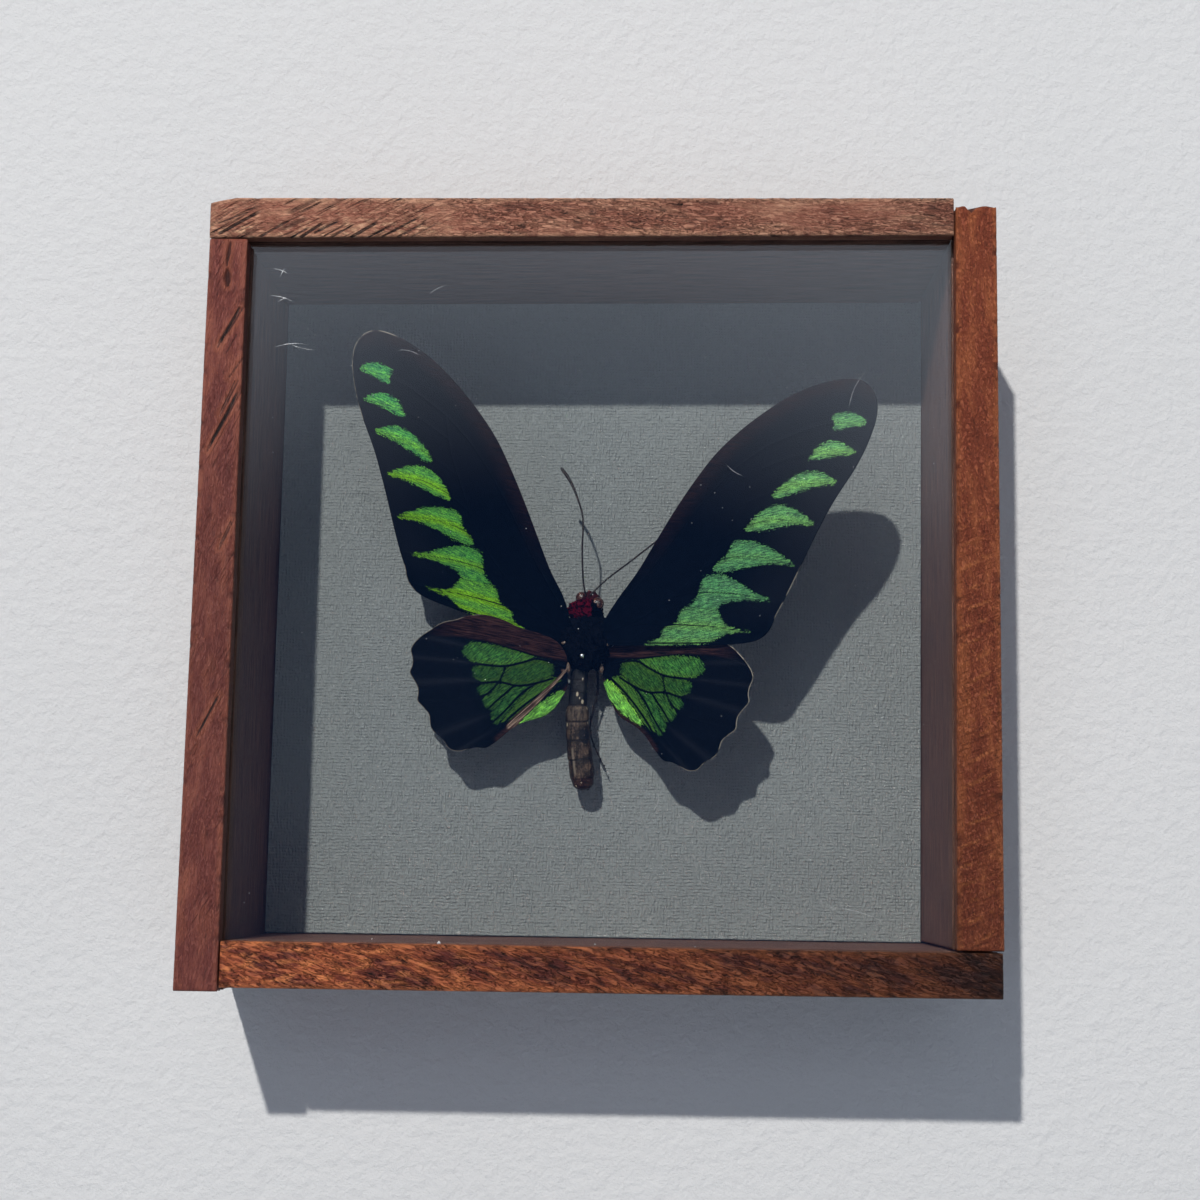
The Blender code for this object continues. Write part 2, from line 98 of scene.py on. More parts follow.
class Finish:
    # one material on a Principled shader; node() makes every node in it
    def __init__(self, name, **settings):
        self.material = bpy.data.materials.new(name)
        self.material.use_nodes = True
        self.tree = self.material.node_tree
        self.shader = self.tree.nodes["Principled BSDF"]
        self.output = self.tree.nodes["Material Output"]
        for socket, value in settings.items():
            self.set(socket.replace("_", " "), value)

    def node(self, kind, settings={}, values=(), out=0):
        made = self.tree.nodes.new("ShaderNode" + kind)
        for name, value in settings.items():
            setattr(made, name, value)
        pairs = values.items() if isinstance(values, dict) else enumerate(values)
        for key, value in pairs:
            if isinstance(value, Wire):
                self.tree.links.new(value.socket, made.inputs[key])
            else:
                made.inputs[key].default_value = value
        return Wire(self, made.outputs[out])

    def set(self, socket, value):
        target = self.shader.inputs[socket]
        if isinstance(value, Wire):
            self.tree.links.new(value.socket, target)
        else:
            target.default_value = value

    def attribute(self, name, out="Fac"):
        return self.node("Attribute", {"attribute_name": name}, out=out)

    def place(self):
        return self.node("TexCoord", out="Object")

    def stretch(self, vector, scale, turn=0.0):
        # a pattern's own space: its long axis turned about z in degrees, then scaled
        values = {"Vector": vector, "Rotation": (0, 0, math.radians(turn)),
                  "Scale": tuple(1.0 / c for c in scale)}
        return self.node("Mapping", {"vector_type": "TEXTURE"}, values)

    def parts(self, vector):
        # the x, y and z of a vector
        split = self.node("SeparateXYZ", {}, [vector])
        return [Wire(self, socket) for socket in split.socket.node.outputs]

    def noise(self, vector, scale, detail=3.0, rough=0.55, twist=0.0):
        values = {"Vector": vector, "Scale": scale, "Detail": detail, "Roughness": rough, "Distortion": twist}
        return self.node("TexNoise", {}, values)

    def cells(self, vector, scale, out="Distance"):
        return self.node("TexVoronoi", {}, {"Vector": vector, "Scale": scale}, out)

    def mix(self, share, a, b, mode="MIX"):
        made = self.node("Mix", {"data_type": "RGBA", "blend_type": mode}, {0: share}, out=2)
        for key, value in ((6, a), (7, b)):
            if isinstance(value, Wire):
                self.tree.links.new(value.socket, made.socket.node.inputs[key])
            else:
                made.socket.node.inputs[key].default_value = (*value[:3], 1.0)
        return made

    def tone(self, colour, brightness):
        # a colour times a grey value
        grey = self.node("CombineXYZ", {}, [brightness, brightness, brightness])
        return self.mix(1.0, colour, grey, "MULTIPLY")

    def bump(self, height, distance, strength=1.0):
        return self.node("Bump", {}, {"Strength": strength, "Distance": distance, "Height": height})


# Mesh helpers

def hash2(x, y, seed=0.0):
    return noise.noise(Vector((x, y, seed)))


def ramp(value, low, high):
    t = np.clip((value - low) / (high - low), 0.0, 1.0)
    return t * t * (3 - 2 * t)


def between(p0, p1, p2, p3, t):
    # a point from p1 to p2 on the smooth curve through all four
    return 0.5 * (2 * p1 + (p2 - p0) * t + (2 * p0 - 5 * p1 + 4 * p2 - p3) * t * t
                  + (3 * p1 - p0 - 3 * p2 + p3) * t ** 3)


def roundedLoop(points, steps):
    # closed smooth curve through the points
    count = len(points)
    loop = []
    for i in range(count):
        corners = [np.array(points[(i + k) % count], float) for k in (-1, 0, 1, 2)]
        loop += [between(*corners, k / steps) for k in range(steps)]
    return np.array(loop)


def smoothLine(points, steps):
    # open smooth curve through the points
    points = [np.array(p, float) for p in points]
    last = len(points) - 1
    line = []
    for i in range(last):
        corners = points[max(i - 1, 0)], points[i], points[i + 1], points[min(i + 2, last)]
        line += [between(*corners, k / steps) for k in range(steps)]
    return np.array(line + [points[-1]])


def evenly(line, spacing, closed=False):
    # the same line with points at an even spacing
    if closed:
        line = np.vstack([line, line[:1]])
    lengths = np.concatenate([[0], np.cumsum(np.linalg.norm(np.diff(line, axis=0), axis=1))])
    count = max(2, round(lengths[-1] / spacing))
    at = np.linspace(0, lengths[-1], count + 1)
    even = np.stack([np.interp(at, lengths, line[:, k]) for k in range(line.shape[1])], 1)
    return even[:-1] if closed else even


def distanceToLine(points, line, closed=False):
    # distance of each 2-D point to a polyline, and the share of the line where it is nearest
    starts = line if closed else line[:-1]
    ends = np.roll(line, -1, 0) if closed else line[1:]
    best = np.full(len(points), 1e9)
    where = np.zeros(len(points))
    for k, (a, b) in enumerate(zip(starts, ends)):
        ab = b - a
        t = np.clip(((points - a) @ ab) / max(ab @ ab, 1e-12), 0, 1)
        gap = np.linalg.norm(points - a - t[:, None] * ab, axis=1)
        nearer = gap < best
        best = np.where(nearer, gap, best)
        where = np.where(nearer, (k + t) / len(starts), where)
    return best, where


def insideLoop(points, loop):
    x, y = points[:, 0], points[:, 1]
    inside = np.zeros(len(points), bool)
    for (x1, y1), (x2, y2) in zip(loop, np.roll(loop, -1, 0)):
        if y1 != y2:
            crosses = ((y1 > y) != (y2 > y)) & (x < (x2 - x1) * (y - y1) / (y2 - y1) + x1)
            inside ^= crosses
    return inside


def signedDistance(points, loop):
    gap, _ = distanceToLine(points, loop, closed=True)
    return np.where(insideLoop(points, loop), gap, -gap)


def meshPiece(name, verts, faces, attributes={}, smooth=True):
    # verts in millimetres; attributes are one value or one vector for each vert
    mesh = bpy.data.meshes.new(name)
    mesh.from_pydata((np.asarray(verts) * mm).tolist(), [], faces)
    for key, values in attributes.items():
        values = np.asarray(values, np.float32)
        kind, field = ("FLOAT", "value") if values.ndim == 1 else ("FLOAT_VECTOR", "vector")
        layer = mesh.attributes.new(key, kind, "POINT")
        layer.data.foreach_set(field, values.ravel())
    bm = bmesh.new()
    bm.from_mesh(mesh)
    wide = [face for face in bm.faces if len(face.verts) > 8]
    bmesh.ops.triangulate(bm, faces=wide, ngon_method="EAR_CLIP")
    bmesh.ops.recalc_face_normals(bm, faces=bm.faces)
    bm.to_mesh(mesh)
    bm.free()
    if smooth:
        mesh.shade_smooth()
    piece = bpy.data.objects.new(name, mesh)
    bpy.context.scene.collection.objects.link(piece)
    return piece


def dress(piece, finish, slot, *nodes):
    # material, body and the solids that the piece stands for; slot is not used
    piece.data.materials.clear()
    piece.data.materials.append(finish.material)
    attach(piece, "root")
    if nodes:
        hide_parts(*nodes)


def gridFaces(rows, columns, closed=True, start=0):
    # quads of a grid whose columns run round a ring
    faces = []
    for r in range(rows - 1):
        for c in range(columns if closed else columns - 1):
            d = (c + 1) % columns
            a, b = start + r * columns, start + (r + 1) * columns
            faces.append((a + c, a + d, b + d, b + c))
    return faces


def bakeModifiers(piece):
    # the evaluated mesh in place of the modifiers
    bpy.context.view_layer.update()
    evaluated = piece.evaluated_get(bpy.context.evaluated_depsgraph_get())
    mesh = bpy.data.meshes.new_from_object(evaluated)
    piece.modifiers.clear()
    piece.data = mesh


# Wooden slats

woodShape = {
    "edgeRound": 0.55,
    "stationStep": 0.5,
    "frontSteps": 34,
    "grooveDepth": 2.0,
    "grooveSlack": 0.3,
    "deepestCut": 0.9,
    "about": 9.0,  # width of a front, for the length round a cross-section
    "sideShade": 0.72,
}
endMarks = {"pit": 0.2, "ridge": 0.0, "zone": 0.5, "sawn": 0.0, "shade": 0.75, "inside": 0.0}

# lean: how far the outer and the inner side stand back from their box at the slat's start and end
slats = {
    "slat_left": {"along": 1, "inward": 1, "outer": (0.0, 1.5), "inner": (0.6, 0.0), "seed": 3.0},
    "slat_right": {"along": 1, "inward": -1, "outer": (0.0, 0.0), "inner": (0.0, 1.0), "seed": 11.0,
                   "notch": {"from": 5.4, "half": 1.5, "deep": 1.2}},
    "slat_top": {"along": 0, "inward": -1, "outer": (1.4, 0.0), "inner": (0.0, 2.0), "seed": 19.0,
                 "cutCorner": {"length": 5.4, "deep": 1.1}},
    "slat_bottom": {"along": 0, "inward": 1, "outer": (0.0, 0.0), "inner": (0.0, 0.2), "seed": 27.0},
}


def flecks(s, w, seed, long, wide, turn):
    # torn fibres: long thin flakes at an angle to the slat
    c, k = math.cos(math.radians(turn)), math.sin(math.radians(turn))
    u, v = (s * c + w * k) / long, (w * c - s * k) / wide
    return hash2(u, v, seed) + 0.5 * hash2(u * 2.1, v * 2.3, seed + 5)


def sawLines(s, w, seed, turn, width):
    # irregular thin cuts that cross the slat at an angle and fade in and out
    q = w * math.cos(math.radians(turn)) - s * math.sin(math.radians(turn))
    fade = ramp(hash2(s / 5.0, w / 3.0, seed + 6), -0.4, 0.05)
    return ramp(hash2(q / width, 0.02 * s, seed), 0.08, 0.26) * fade


# each front gives: depth of the cut in mm, dark pit, light ridge (rubbed wood; on the top slat painted
# glints), share of torn grain, share of fine saw lines
def topFront(s, w, seed):
    # saw lines rising to the right, painted highlights (cream glints) on the left third, torn grain elsewhere
    left = (1 - ramp(s, 42, 58)) * (1 - 0.75 * ramp(s, 9, 12) * (1 - ramp(s, 14, 17)))
    lines = sawLines(s, w, seed, -28, 0.62) * left
    torn = ramp(flecks(s, w, seed, 3.0, 0.5, 5), 0.16, 0.6)
    zone = 0.22 + 0.78 * ramp(s, 30, 56) * ramp(hash2(s / 15, w / 6, seed + 2), -0.5, 0.1)
    torn *= zone
    # glint: painted highlight, stronger toward the lower edge, handed on as the light ridge mark
    glint = left * (0.25 + ramp(w, 4.0, 8.0)) * ramp(hash2(s / 1.6, w / 0.9, seed + 8), 0.0, 0.45)
    return 0.26 * lines + 0.45 * torn, max(0.85 * lines, torn), glint, zone, left


def rightFront(s, w, seed):
    # fine mottling, and in the lower half the faint slanting ridges of a saw
    low = 1 - ramp(s, 78, 104)
    phase = (s * 0.906 + w * 0.42) / 3.7 + 0.35 * hash2(s / 13, w / 9, seed)
    wave = math.sin(2 * math.pi * phase)
    broken = ramp(hash2(s / 2.6, w / 2.4, seed + 3), -0.25, 0.15)
    ridge = ramp(wave, 0.80, 1.0) * low * broken * ramp(w, 1.2, 3.0)
    torn = ramp(flecks(s, w, seed, 1.3, 0.5, 20), 0.25, 0.75)
    strip = ramp(w, 6.3, 7.0) * ramp(s, 36, 40) * (1 - ramp(s, 62, 68))
    depth = 0.05 * (1 - wave) * low + 0.2 * torn * (1 - strip)
    return depth, 0.55 * torn, max(0.8 * ridge, 0.4 * strip), 0.5, 0.35 * low


def bottomFront(s, w, seed):
    # coarse torn flakes that sweep down to the right
    torn = ramp(flecks(s, w, seed, 3.6, 0.6, -26), 0.14, 0.56)
    torn *= 0.3 + 0.7 * ramp(hash2(s / 11, w / 5, seed + 2), -0.25, 0.15)
    rub = ramp(hash2(s / 4, w / 1.2, seed + 8), 0.0, 0.45) * (0.3 + 0.7 * (1 - ramp(s, 20, 70)))
    return 0.42 * torn, torn, rub * 0.7 * (1 - torn), 0.9, 0.15


# the left slat's knot hole and its long slanting cuts: (along, across) start, end, half width, depth
leftScars = [
    {"start": (152.4, 4.1), "end": (148.9, 4.3), "half": 0.95, "deep": 0.9},
    {"start": (158.6, 4.5), "end": (153.4, 4.0), "half": 0.42, "deep": 0.7},
    {"start": (144.6, 8.2), "end": (135.4, 2.9), "half": 0.26, "deep": 0.45},
    {"start": (126.0, 8.4), "end": (113.0, 1.8), "half": 0.28, "deep": 0.45},
    {"start": (128.3, 7.7), "end": (120.6, 4.2), "half": 0.18, "deep": 0.3},
    {"start": (133.5, 8.6), "end": (128.8, 5.6), "half": 0.15, "deep": 0.25},
    {"start": (98.0, 8.0), "end": (92.0, 5.4), "half": 0.15, "deep": 0.25},
    {"start": (61.0, 6.8), "end": (52.5, 2.6), "half": 0.16, "deep": 0.25},
]


def leftFront(s, w, seed):
    # close grain, a knot hole near the top and slanting cuts with lighter wood beside them
    torn = ramp(flecks(s, w, seed, 2.4, 0.45, 8), 0.28, 0.8)
    depth, pit = 0.18 * torn, 0.5 * torn
    rub = 0.35 * ramp(hash2(s / 9, w / 2.4, seed + 8), 0.05, 0.5)
    for scar in leftScars:
        a, b = np.array(scar["start"]), np.array(scar["end"])
        ab = b - a
        t = min(1.0, max(0.0, ((s - a[0]) * ab[0] + (w - a[1]) * ab[1]) / (ab @ ab)))
        half = scar["half"] * (1 - 0.7 * abs(2 * t - 1) ** 1.5)
        half *= 1 + 0.6 * hash2(s / 0.9, w / 0.8, seed + 9)
        gap = math.hypot(s - a[0] - t * ab[0], w - a[1] - t * ab[1])
        cut = 1 - ramp(gap, 0.3 * half, half + 0.15)
        depth = max(depth, scar["deep"] * cut)
        pit = max(pit, cut)
        rub = max(rub, 0.75 * (1 - ramp(gap, 0.4, 1.8)) * (1 - cut))
    return depth, pit, rub, 0.3, 0.6 * ramp(hash2(s / 12, w / 5, seed + 4), -0.1, 0.25)


fronts = {"slat_left": leftFront, "slat_right": rightFront,
          "slat_top": topFront, "slat_bottom": bottomFront}


def slatRing(height, grooveLow, grooveHigh):
    # cross-section: (share from outer to inner side, offset inwards, z, face name)
    r = woodShape["edgeRound"]
    ring = []
    for z in np.concatenate([np.arange(0.4, 40, 1.6), np.arange(40, height - r, 0.7)]):
        ring.append((0, 0.0, z, "outer"))
    for k in range(5):
        turn = math.radians(90 * k / 4)
        ring.append((0, r - r * math.cos(turn), height - r + r * math.sin(turn), "front"))
    for k in range(1, woodShape["frontSteps"]):
        t = k / woodShape["frontSteps"]
        ring.append((t, r * (1 - 2 * t), height, "front"))
    for k in range(5):
        turn = math.radians(90 * k / 4)
        ring.append((1, -r + r * math.sin(turn), height - r + r * math.cos(turn), "front"))
    for z in np.arange(height - r - 0.3, grooveHigh + 0.1, -0.35):
        ring.append((1, 0.0, z, "recess"))
    for offset in (0.0, -0.7, -1.4, -woodShape["grooveDepth"]):
        ring.append((1, offset, grooveHigh, "groove"))
    for offset in (-woodShape["grooveDepth"], -1.4, -0.7, 0.0):
        ring.append((1, offset, grooveLow, "groove"))
    for z in np.arange(grooveLow - 0.5, 0.4, -1.2):
        ring.append((1, 0.0, z, "inner"))
    for t in np.linspace(1, 0, 9):
        ring.append((t, -0.3 * t + 0.3 * (1 - t), 0.0, "back"))
    return ring


def sawnSlat(name):
    shape, tone = slats[name], woodTones[name]
    low, high = (np.array(corner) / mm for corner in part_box(name))
    paneLow, paneHigh = (corner[2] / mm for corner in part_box("glass_pane"))
    along, across = shape["along"], 1 - shape["along"]
    inward, seed = shape["inward"], shape["seed"]
    outerAt = low[across] if inward > 0 else high[across]
    innerAt = high[across] if inward > 0 else low[across]
    ring = slatRing(high[2], paneLow - woodShape["grooveSlack"], paneHigh + woodShape["grooveSlack"])
    length = high[along] - low[along]
    ends = woodShape["edgeRound"]
    stations = np.concatenate([[0.0, 0.08, 0.25], np.arange(ends, length - ends, woodShape["stationStep"]),
                               [length - 0.25, length - 0.08, length]])
    notch, corner = shape.get("notch"), shape.get("cutCorner")
    verts = []
    marks = {key: [] for key in ("grain", "pit", "ridge", "zone", "sawn", "shade", "inside")}
    steps = [math.hypot((b[0] - a[0]) * woodShape["about"] + b[1] - a[1], b[2] - a[2])
             for a, b in zip(ring, ring[1:])]
    around = np.concatenate([[0], np.cumsum(steps)])
    firstFront = next(k for k, point in enumerate(ring) if point[3] == "front")
    around -= around[firstFront] + 0.3
    for s in stations:
        share = s / length
        outer = outerAt + inward * (shape["outer"][0] * (1 - share) + shape["outer"][1] * share)
        inner = innerAt - inward * (shape["inner"][0] * (1 - share) + shape["inner"][1] * share)
        if corner and s < corner["length"]:
            outer += inward * corner["deep"] * (1 - s / corner["length"])
        fromEnd, tuck = min(s, length - s), 0.0
        if fromEnd < ends:
            tuck = ends * (1 - math.sqrt(max(0.0, 1 - (1 - fromEnd / ends) ** 2)))
        wide = abs(inner - outer)
        for (t, offset, z, face), turnAt in zip(ring, around):
            w = t * wide + offset
            depth, pit, ridge, zone, sawn = 0.0, 0.0, 0.0, 0.3, 0.0
            if face == "front":
                depth, pit, ridge, zone, sawn = fronts[name](s, w, seed)
                rim = 1 - ramp(min(w, wide - w), 0.0, 1.6)
                chip = ramp(hash2(s / 1.9, seed, w / 6), 0.12, 0.5) * rim
                depth += 0.45 * chip
                pit = max(pit, 0.6 * chip)
                ridge = max(ridge, 0.5 * rim * (1 - chip))
            elif face in ("outer", "recess", "inner"):
                rough = ramp(flecks(s, z, seed + 31, 6.0, 0.8, 2), 0.15, 0.7)
                depth, pit = 0.10 * rough, 0.12 * rough
            depth = min(depth, woodShape["deepestCut"])
            move = {"outer": depth, "recess": -depth, "inner": -depth}.get(face, 0.0)
            place = [0.0, 0.0, z]
            place[across] = outer + inward * (w + move)
            reach = s
            if notch:
                bite = notch["deep"] * max(0.0, 1 - abs(w - notch["from"]) / notch["half"])
                bite += 0.45 * (1 + hash2(w / 0.7, z / 9, seed))
                reach -= bite * float(ramp(s, length - 4, length))
            place[along] = low[along] + reach
            if face == "front":
                bevelled = z < high[2] - 1e-6
                place[2] -= depth * (0.6 if bevelled else 1.0)
                place[2] -= tuck
            elif face in ("outer", "recess", "inner") and tuck:
                place[across] += inward * tuck * (1 if face == "outer" else -1)
            verts.append(place)
            shade = float(np.interp(share, [0, 0.5, 1], tone["shade"]))
            shade *= woodShape["sideShade"] if face == "outer" else 1
            inside = {"inner": 1.0, "groove": 1.0, "recess": 0.12}.get(face, 0.0)
            values = ((s, turnAt, 0.0), pit, ridge, zone, sawn, shade, inside)
            for mark, value in zip(marks.values(), values):
                mark.append(value)
    rows, columns = len(stations), len(ring)
    faces = gridFaces(rows, columns)
    verts = np.array(verts)

    # the ends: both last rings carry end grain and are closed by a flat cap
    for row in (0, rows - 1):
        for k in range(row * columns, (row + 1) * columns):
            marks["grain"][k] = (verts[k][across] * 4, verts[k][2] * 4, 40.0)
            for key, value in endMarks.items():
                marks[key][k] = value
        faces.append(tuple(range(row * columns, (row + 1) * columns)))
    return meshPiece(name + "_wood", verts, faces, marks)


# fibre: grain's density along and across; turn and cuts: angle of the grain and of the fine saw lines;
# patch and even: how far dark patches reach; shade: brightness at the slat's start, middle and end
woodTones = {
    "slat_left": {
        "slot": "mahogany_stained_pine", "rough": 0.42, "sheen": 0.45,
        "deep": (0.065, 0.014, 0.012), "mid": (0.165, 0.040, 0.032), "light": (0.34, 0.105, 0.055),
        "fibre": (0.45, 1.9), "turn": 6, "cuts": 30, "fleck": 0.25, "cracks": 0.15, "glint": 1.0,
        "patch": (0.25, 0.50), "even": 0.55, "shade": (1.10, 1.0, 1.35)},
    # top slat: a paler stain, with its mid and light tones and its start raised further as painted sheen
    "slat_top": {
        "slot": "worn_stained_pine", "rough": 0.38, "sheen": 0.45,
        "deep": (0.075, 0.022, 0.018), "mid": (0.350, 0.128, 0.080), "light": (0.78, 0.46, 0.28),
        "fibre": (0.42, 1.9), "turn": 3, "cuts": -28, "fleck": 0.72, "cracks": 0.6, "glint": 1.0,
        "patch": (0.25, 0.50), "even": 0.3, "shade": (1.30, 1.15, 0.98)},
    "slat_right": {
        "slot": "orange_stained_pine", "rough": 0.46, "sheen": 0.35,
        "deep": (0.075, 0.014, 0.008), "mid": (0.235, 0.050, 0.022), "light": (0.52, 0.170, 0.055),
        "fibre": (1.1, 1.9), "turn": 5, "cuts": -66, "fleck": 0.5, "cracks": 0.35, "glint": 1.0,
        "patch": (0.25, 0.50), "even": 0.55, "shade": (0.75, 1.05, 1.25)},
    "slat_bottom": {
        "slot": "flecked_stained_pine", "rough": 0.44, "sheen": 0.35,
        "deep": (0.078, 0.015, 0.012), "mid": (0.235, 0.050, 0.021), "light": (0.60, 0.205, 0.068),
        "fibre": (0.27, 1.35), "turn": -17, "cuts": -24, "fleck": 0.85, "cracks": 0.85, "glint": 0.6,
        "patch": (0.38, 0.60), "even": 0.05, "shade": (1.80, 1.00, 0.22)},
}
crackBlack = (0.012, 0.004, 0.004)
innerWood = {"deep": (0.085, 0.032, 0.023), "light": (0.29, 0.125, 0.088), "streak": (0.045, 0.018, 0.014)}


# single saw cuts: start and end as (along, across) in mm, half width, darkness
sawCuts = {
    "slat_top": [(1.5, 5.8, 9.8, 2.9, 0.13, 0.8), (1.6, 8.5, 11.9, 2.6, 0.26, 1.0),
                 (2.6, 7.1, 7.9, 4.0, 0.11, 0.7), (10.5, 9.2, 17.9, 4.9, 0.2, 0.8),
                 (14.8, 9.2, 18.6, 7.5, 0.11, 0.7), (17.3, 9.3, 22.0, 6.7, 0.16, 0.9),
                 (19.5, 9.3, 25.0, 5.5, 0.24, 1.0), (22.4, 8.3, 28.7, 5.0, 0.2, 0.95),
                 (24.6, 9.0, 30.1, 5.7, 0.12, 0.7), (26.2, 9.3, 31.5, 6.0, 0.16, 0.9),
                 (30.2, 9.4, 37.1, 5.2, 0.26, 1.0), (33.9, 9.4, 38.2, 7.1, 0.13, 0.7),
                 (36.9, 9.3, 46.2, 4.0, 0.17, 0.9), (40.2, 9.3, 47.4, 5.2, 0.12, 0.6),
                 (43.2, 9.4, 50.0, 5.5, 0.14, 0.6), (5.5, 9.2, 12.4, 5.2, 0.1, 0.5)],
    "slat_left": [(144.6, 8.2, 135.4, 2.9, 0.20, 1.0), (126.0, 8.4, 113.0, 1.8, 0.20, 0.9),
                  (128.3, 7.7, 120.6, 4.2, 0.11, 0.7), (138.4, 7.6, 133.6, 4.9, 0.10, 0.6),
                  (98.0, 8.0, 92.0, 5.4, 0.11, 0.6), (61.0, 6.8, 52.5, 2.6, 0.12, 0.6)],
}


def stainedWood(name):
    # varnished stain that sits dark in the torn grain and wears off the ridges; on the top slat the light ridges
    # are painted glints
    tone = woodTones[name]
    finish = Finish(name + "_stain", IOR=1.5, Specular_IOR_Level=tone["sheen"])
    grain = finish.attribute("grain", "Vector")
    pit, ridge, zone = finish.attribute("pit"), finish.attribute("ridge"), finish.attribute("zone")
    shade, inside = finish.attribute("shade"), finish.attribute("inside")
    long, wide = tone["fibre"]
    fibres = finish.noise(finish.stretch(grain, (long, wide, 1.0), tone["turn"]), 1.0, 5.0, 0.62, 0.9)
    fine = finish.noise(finish.stretch(grain, (1.2, 4.6, 1.0), tone["turn"] * 0.6), 1.0, 4.0, 0.65)
    glints = finish.noise(finish.stretch(grain, (0.9, 1.9, 1.0), tone["turn"]), 1.0, 3.0, 0.6)
    glints = glints.step(0.56, 0.68) * tone["glint"]
    clouds = finish.noise(finish.stretch(grain, (0.07, 0.28, 1.0), tone["turn"]), 1.0, 3.0, 0.6)
    sawn = finish.attribute("sawn")
    scratch = finish.noise(finish.stretch(grain, (0.12, 2.2, 1.0), tone["cuts"]), 1.0, 3.0, 0.6)
    cutDark, cutLight = scratch.step(0.58, 0.64) * sawn * 0.7, scratch.step(0.42, 0.34) * sawn
    for s0, w0, s1, w1, half, dark in sawCuts.get(name, []):
        long = math.hypot(s1 - s0, w1 - w0)
        local = finish.node("Mapping", {"vector_type": "TEXTURE"},
                            {"Vector": grain, "Location": (s0, w0, 0), "Scale": (long, half, 1.0),
                             "Rotation": (0, 0, math.atan2(w1 - w0, s1 - s0))})
        along, aside, _ = finish.parts(local)
        aside = (aside + (fine - 0.5) * 1.4).size()
        reach = along.step(0.0, 0.08) * along.step(0.75, 1.0, 1.0, 0.0) * (0.75 + fine * 0.6)
        cutDark = cutDark + aside.step(0.9, 1.6, 1.0, 0.0) * reach * dark
    cutDark = cutDark.clamped()
    cracked = clouds.step(0.62, 0.42) * 0.5 + tone["cracks"]
    crack = (fibres - 0.5).size().step(0.0, 0.024, 1.0, 0.0) * zone * cracked
    fleck = fibres.step(0.54, 0.68) * (0.3 + 0.7 * zone) * fine.step(0.30, 0.52)
    bright = fibres.step(0.47, 0.33) * fine.step(0.40, 0.60)
    whole = (clouds.step(*tone["patch"]) + tone["even"]).clamped()
    body = finish.mix(whole, tone["deep"], tone["mid"])
    body = finish.mix((clouds.step(0.42, 0.75) * 0.35 + bright * 0.4).clamped(), body, tone["light"])
    body = finish.mix(fine.step(0.50, 0.66) * 0.45, body, tone["deep"])
    body = finish.mix(glints * fine.step(0.50, 0.36), body, tone["light"])
    body = finish.mix(fleck * tone["fleck"], body, tone["deep"])
    # light ridges: rubbed wood, and on the top slat painted highlights
    body = finish.mix((ridge * fine.step(0.3, 0.62, 1.0, 0.5)).clamped(), body, tone["light"])
    body = finish.tone(body, shade)
    body = finish.mix(cutLight * 0.5, body, tone["light"])
    body = finish.mix((pit * 0.75 + crack * 0.7 + cutDark * 0.85).clamped(), body, crackBlack)
    boards = finish.noise(finish.stretch(grain, (0.08, 2.6, 1.0)), 1.0, 4.0, 0.65)
    walls = finish.mix(boards.step(0.36, 0.66), innerWood["deep"], innerWood["light"])
    walls = finish.mix(fine.step(0.52, 0.64) * 0.6, walls, innerWood["streak"])
    finish.set("Base Color", finish.mix(inside, body, walls))
    rough = tone["rough"] + fleck * 0.12 + pit * 0.25 + fine * 0.16 - ridge * 0.12
    finish.set("Roughness", rough.clamped())
    height = fibres * -0.9 + fine * 0.7 - crack * 1.0 - cutDark * 1.1 - fleck * 0.4
    finish.set("Normal", finish.bump(height, 0.00036, 1.0))
    return finish


for slatName in slats:
    dress(sawnSlat(slatName), stainedWood(slatName), woodTones[slatName]["slot"], slatName)
print("slats sawn")


# Glass, card and backing board

def windowGlass():
    # clear glass that lets the lamps through to the insect
    finish = Finish("window_glass", Base_Color=(0.93, 0.97, 0.96, 1.0), Roughness=0.0, IOR=1.5,
                    Transmission_Weight=1.0)
    clear = finish.node("BsdfTransparent", {}, {"Color": (0.95, 0.97, 0.965, 1.0)})
    surface = Wire(finish, finish.shader.outputs["BSDF"])
    for ray in ("Is Diffuse Ray", "Is Shadow Ray"):
        surface = finish.node("MixShader", {}, [finish.node("LightPath", out=ray), surface, clear])
    finish.tree.links.new(surface.socket, finish.output.inputs["Surface"])
    return finish


# ridge: the painted highlight colour of the raised threads
linenShape = {"thread": 0.00074, "relief": 0.00022, "dark": (0.288, 0.293, 0.290), "mid": (0.315, 0.318, 0.312),
              "ridge": (0.36, 0.37, 0.365), "grit": (0.12, 0.135, 0.142)}


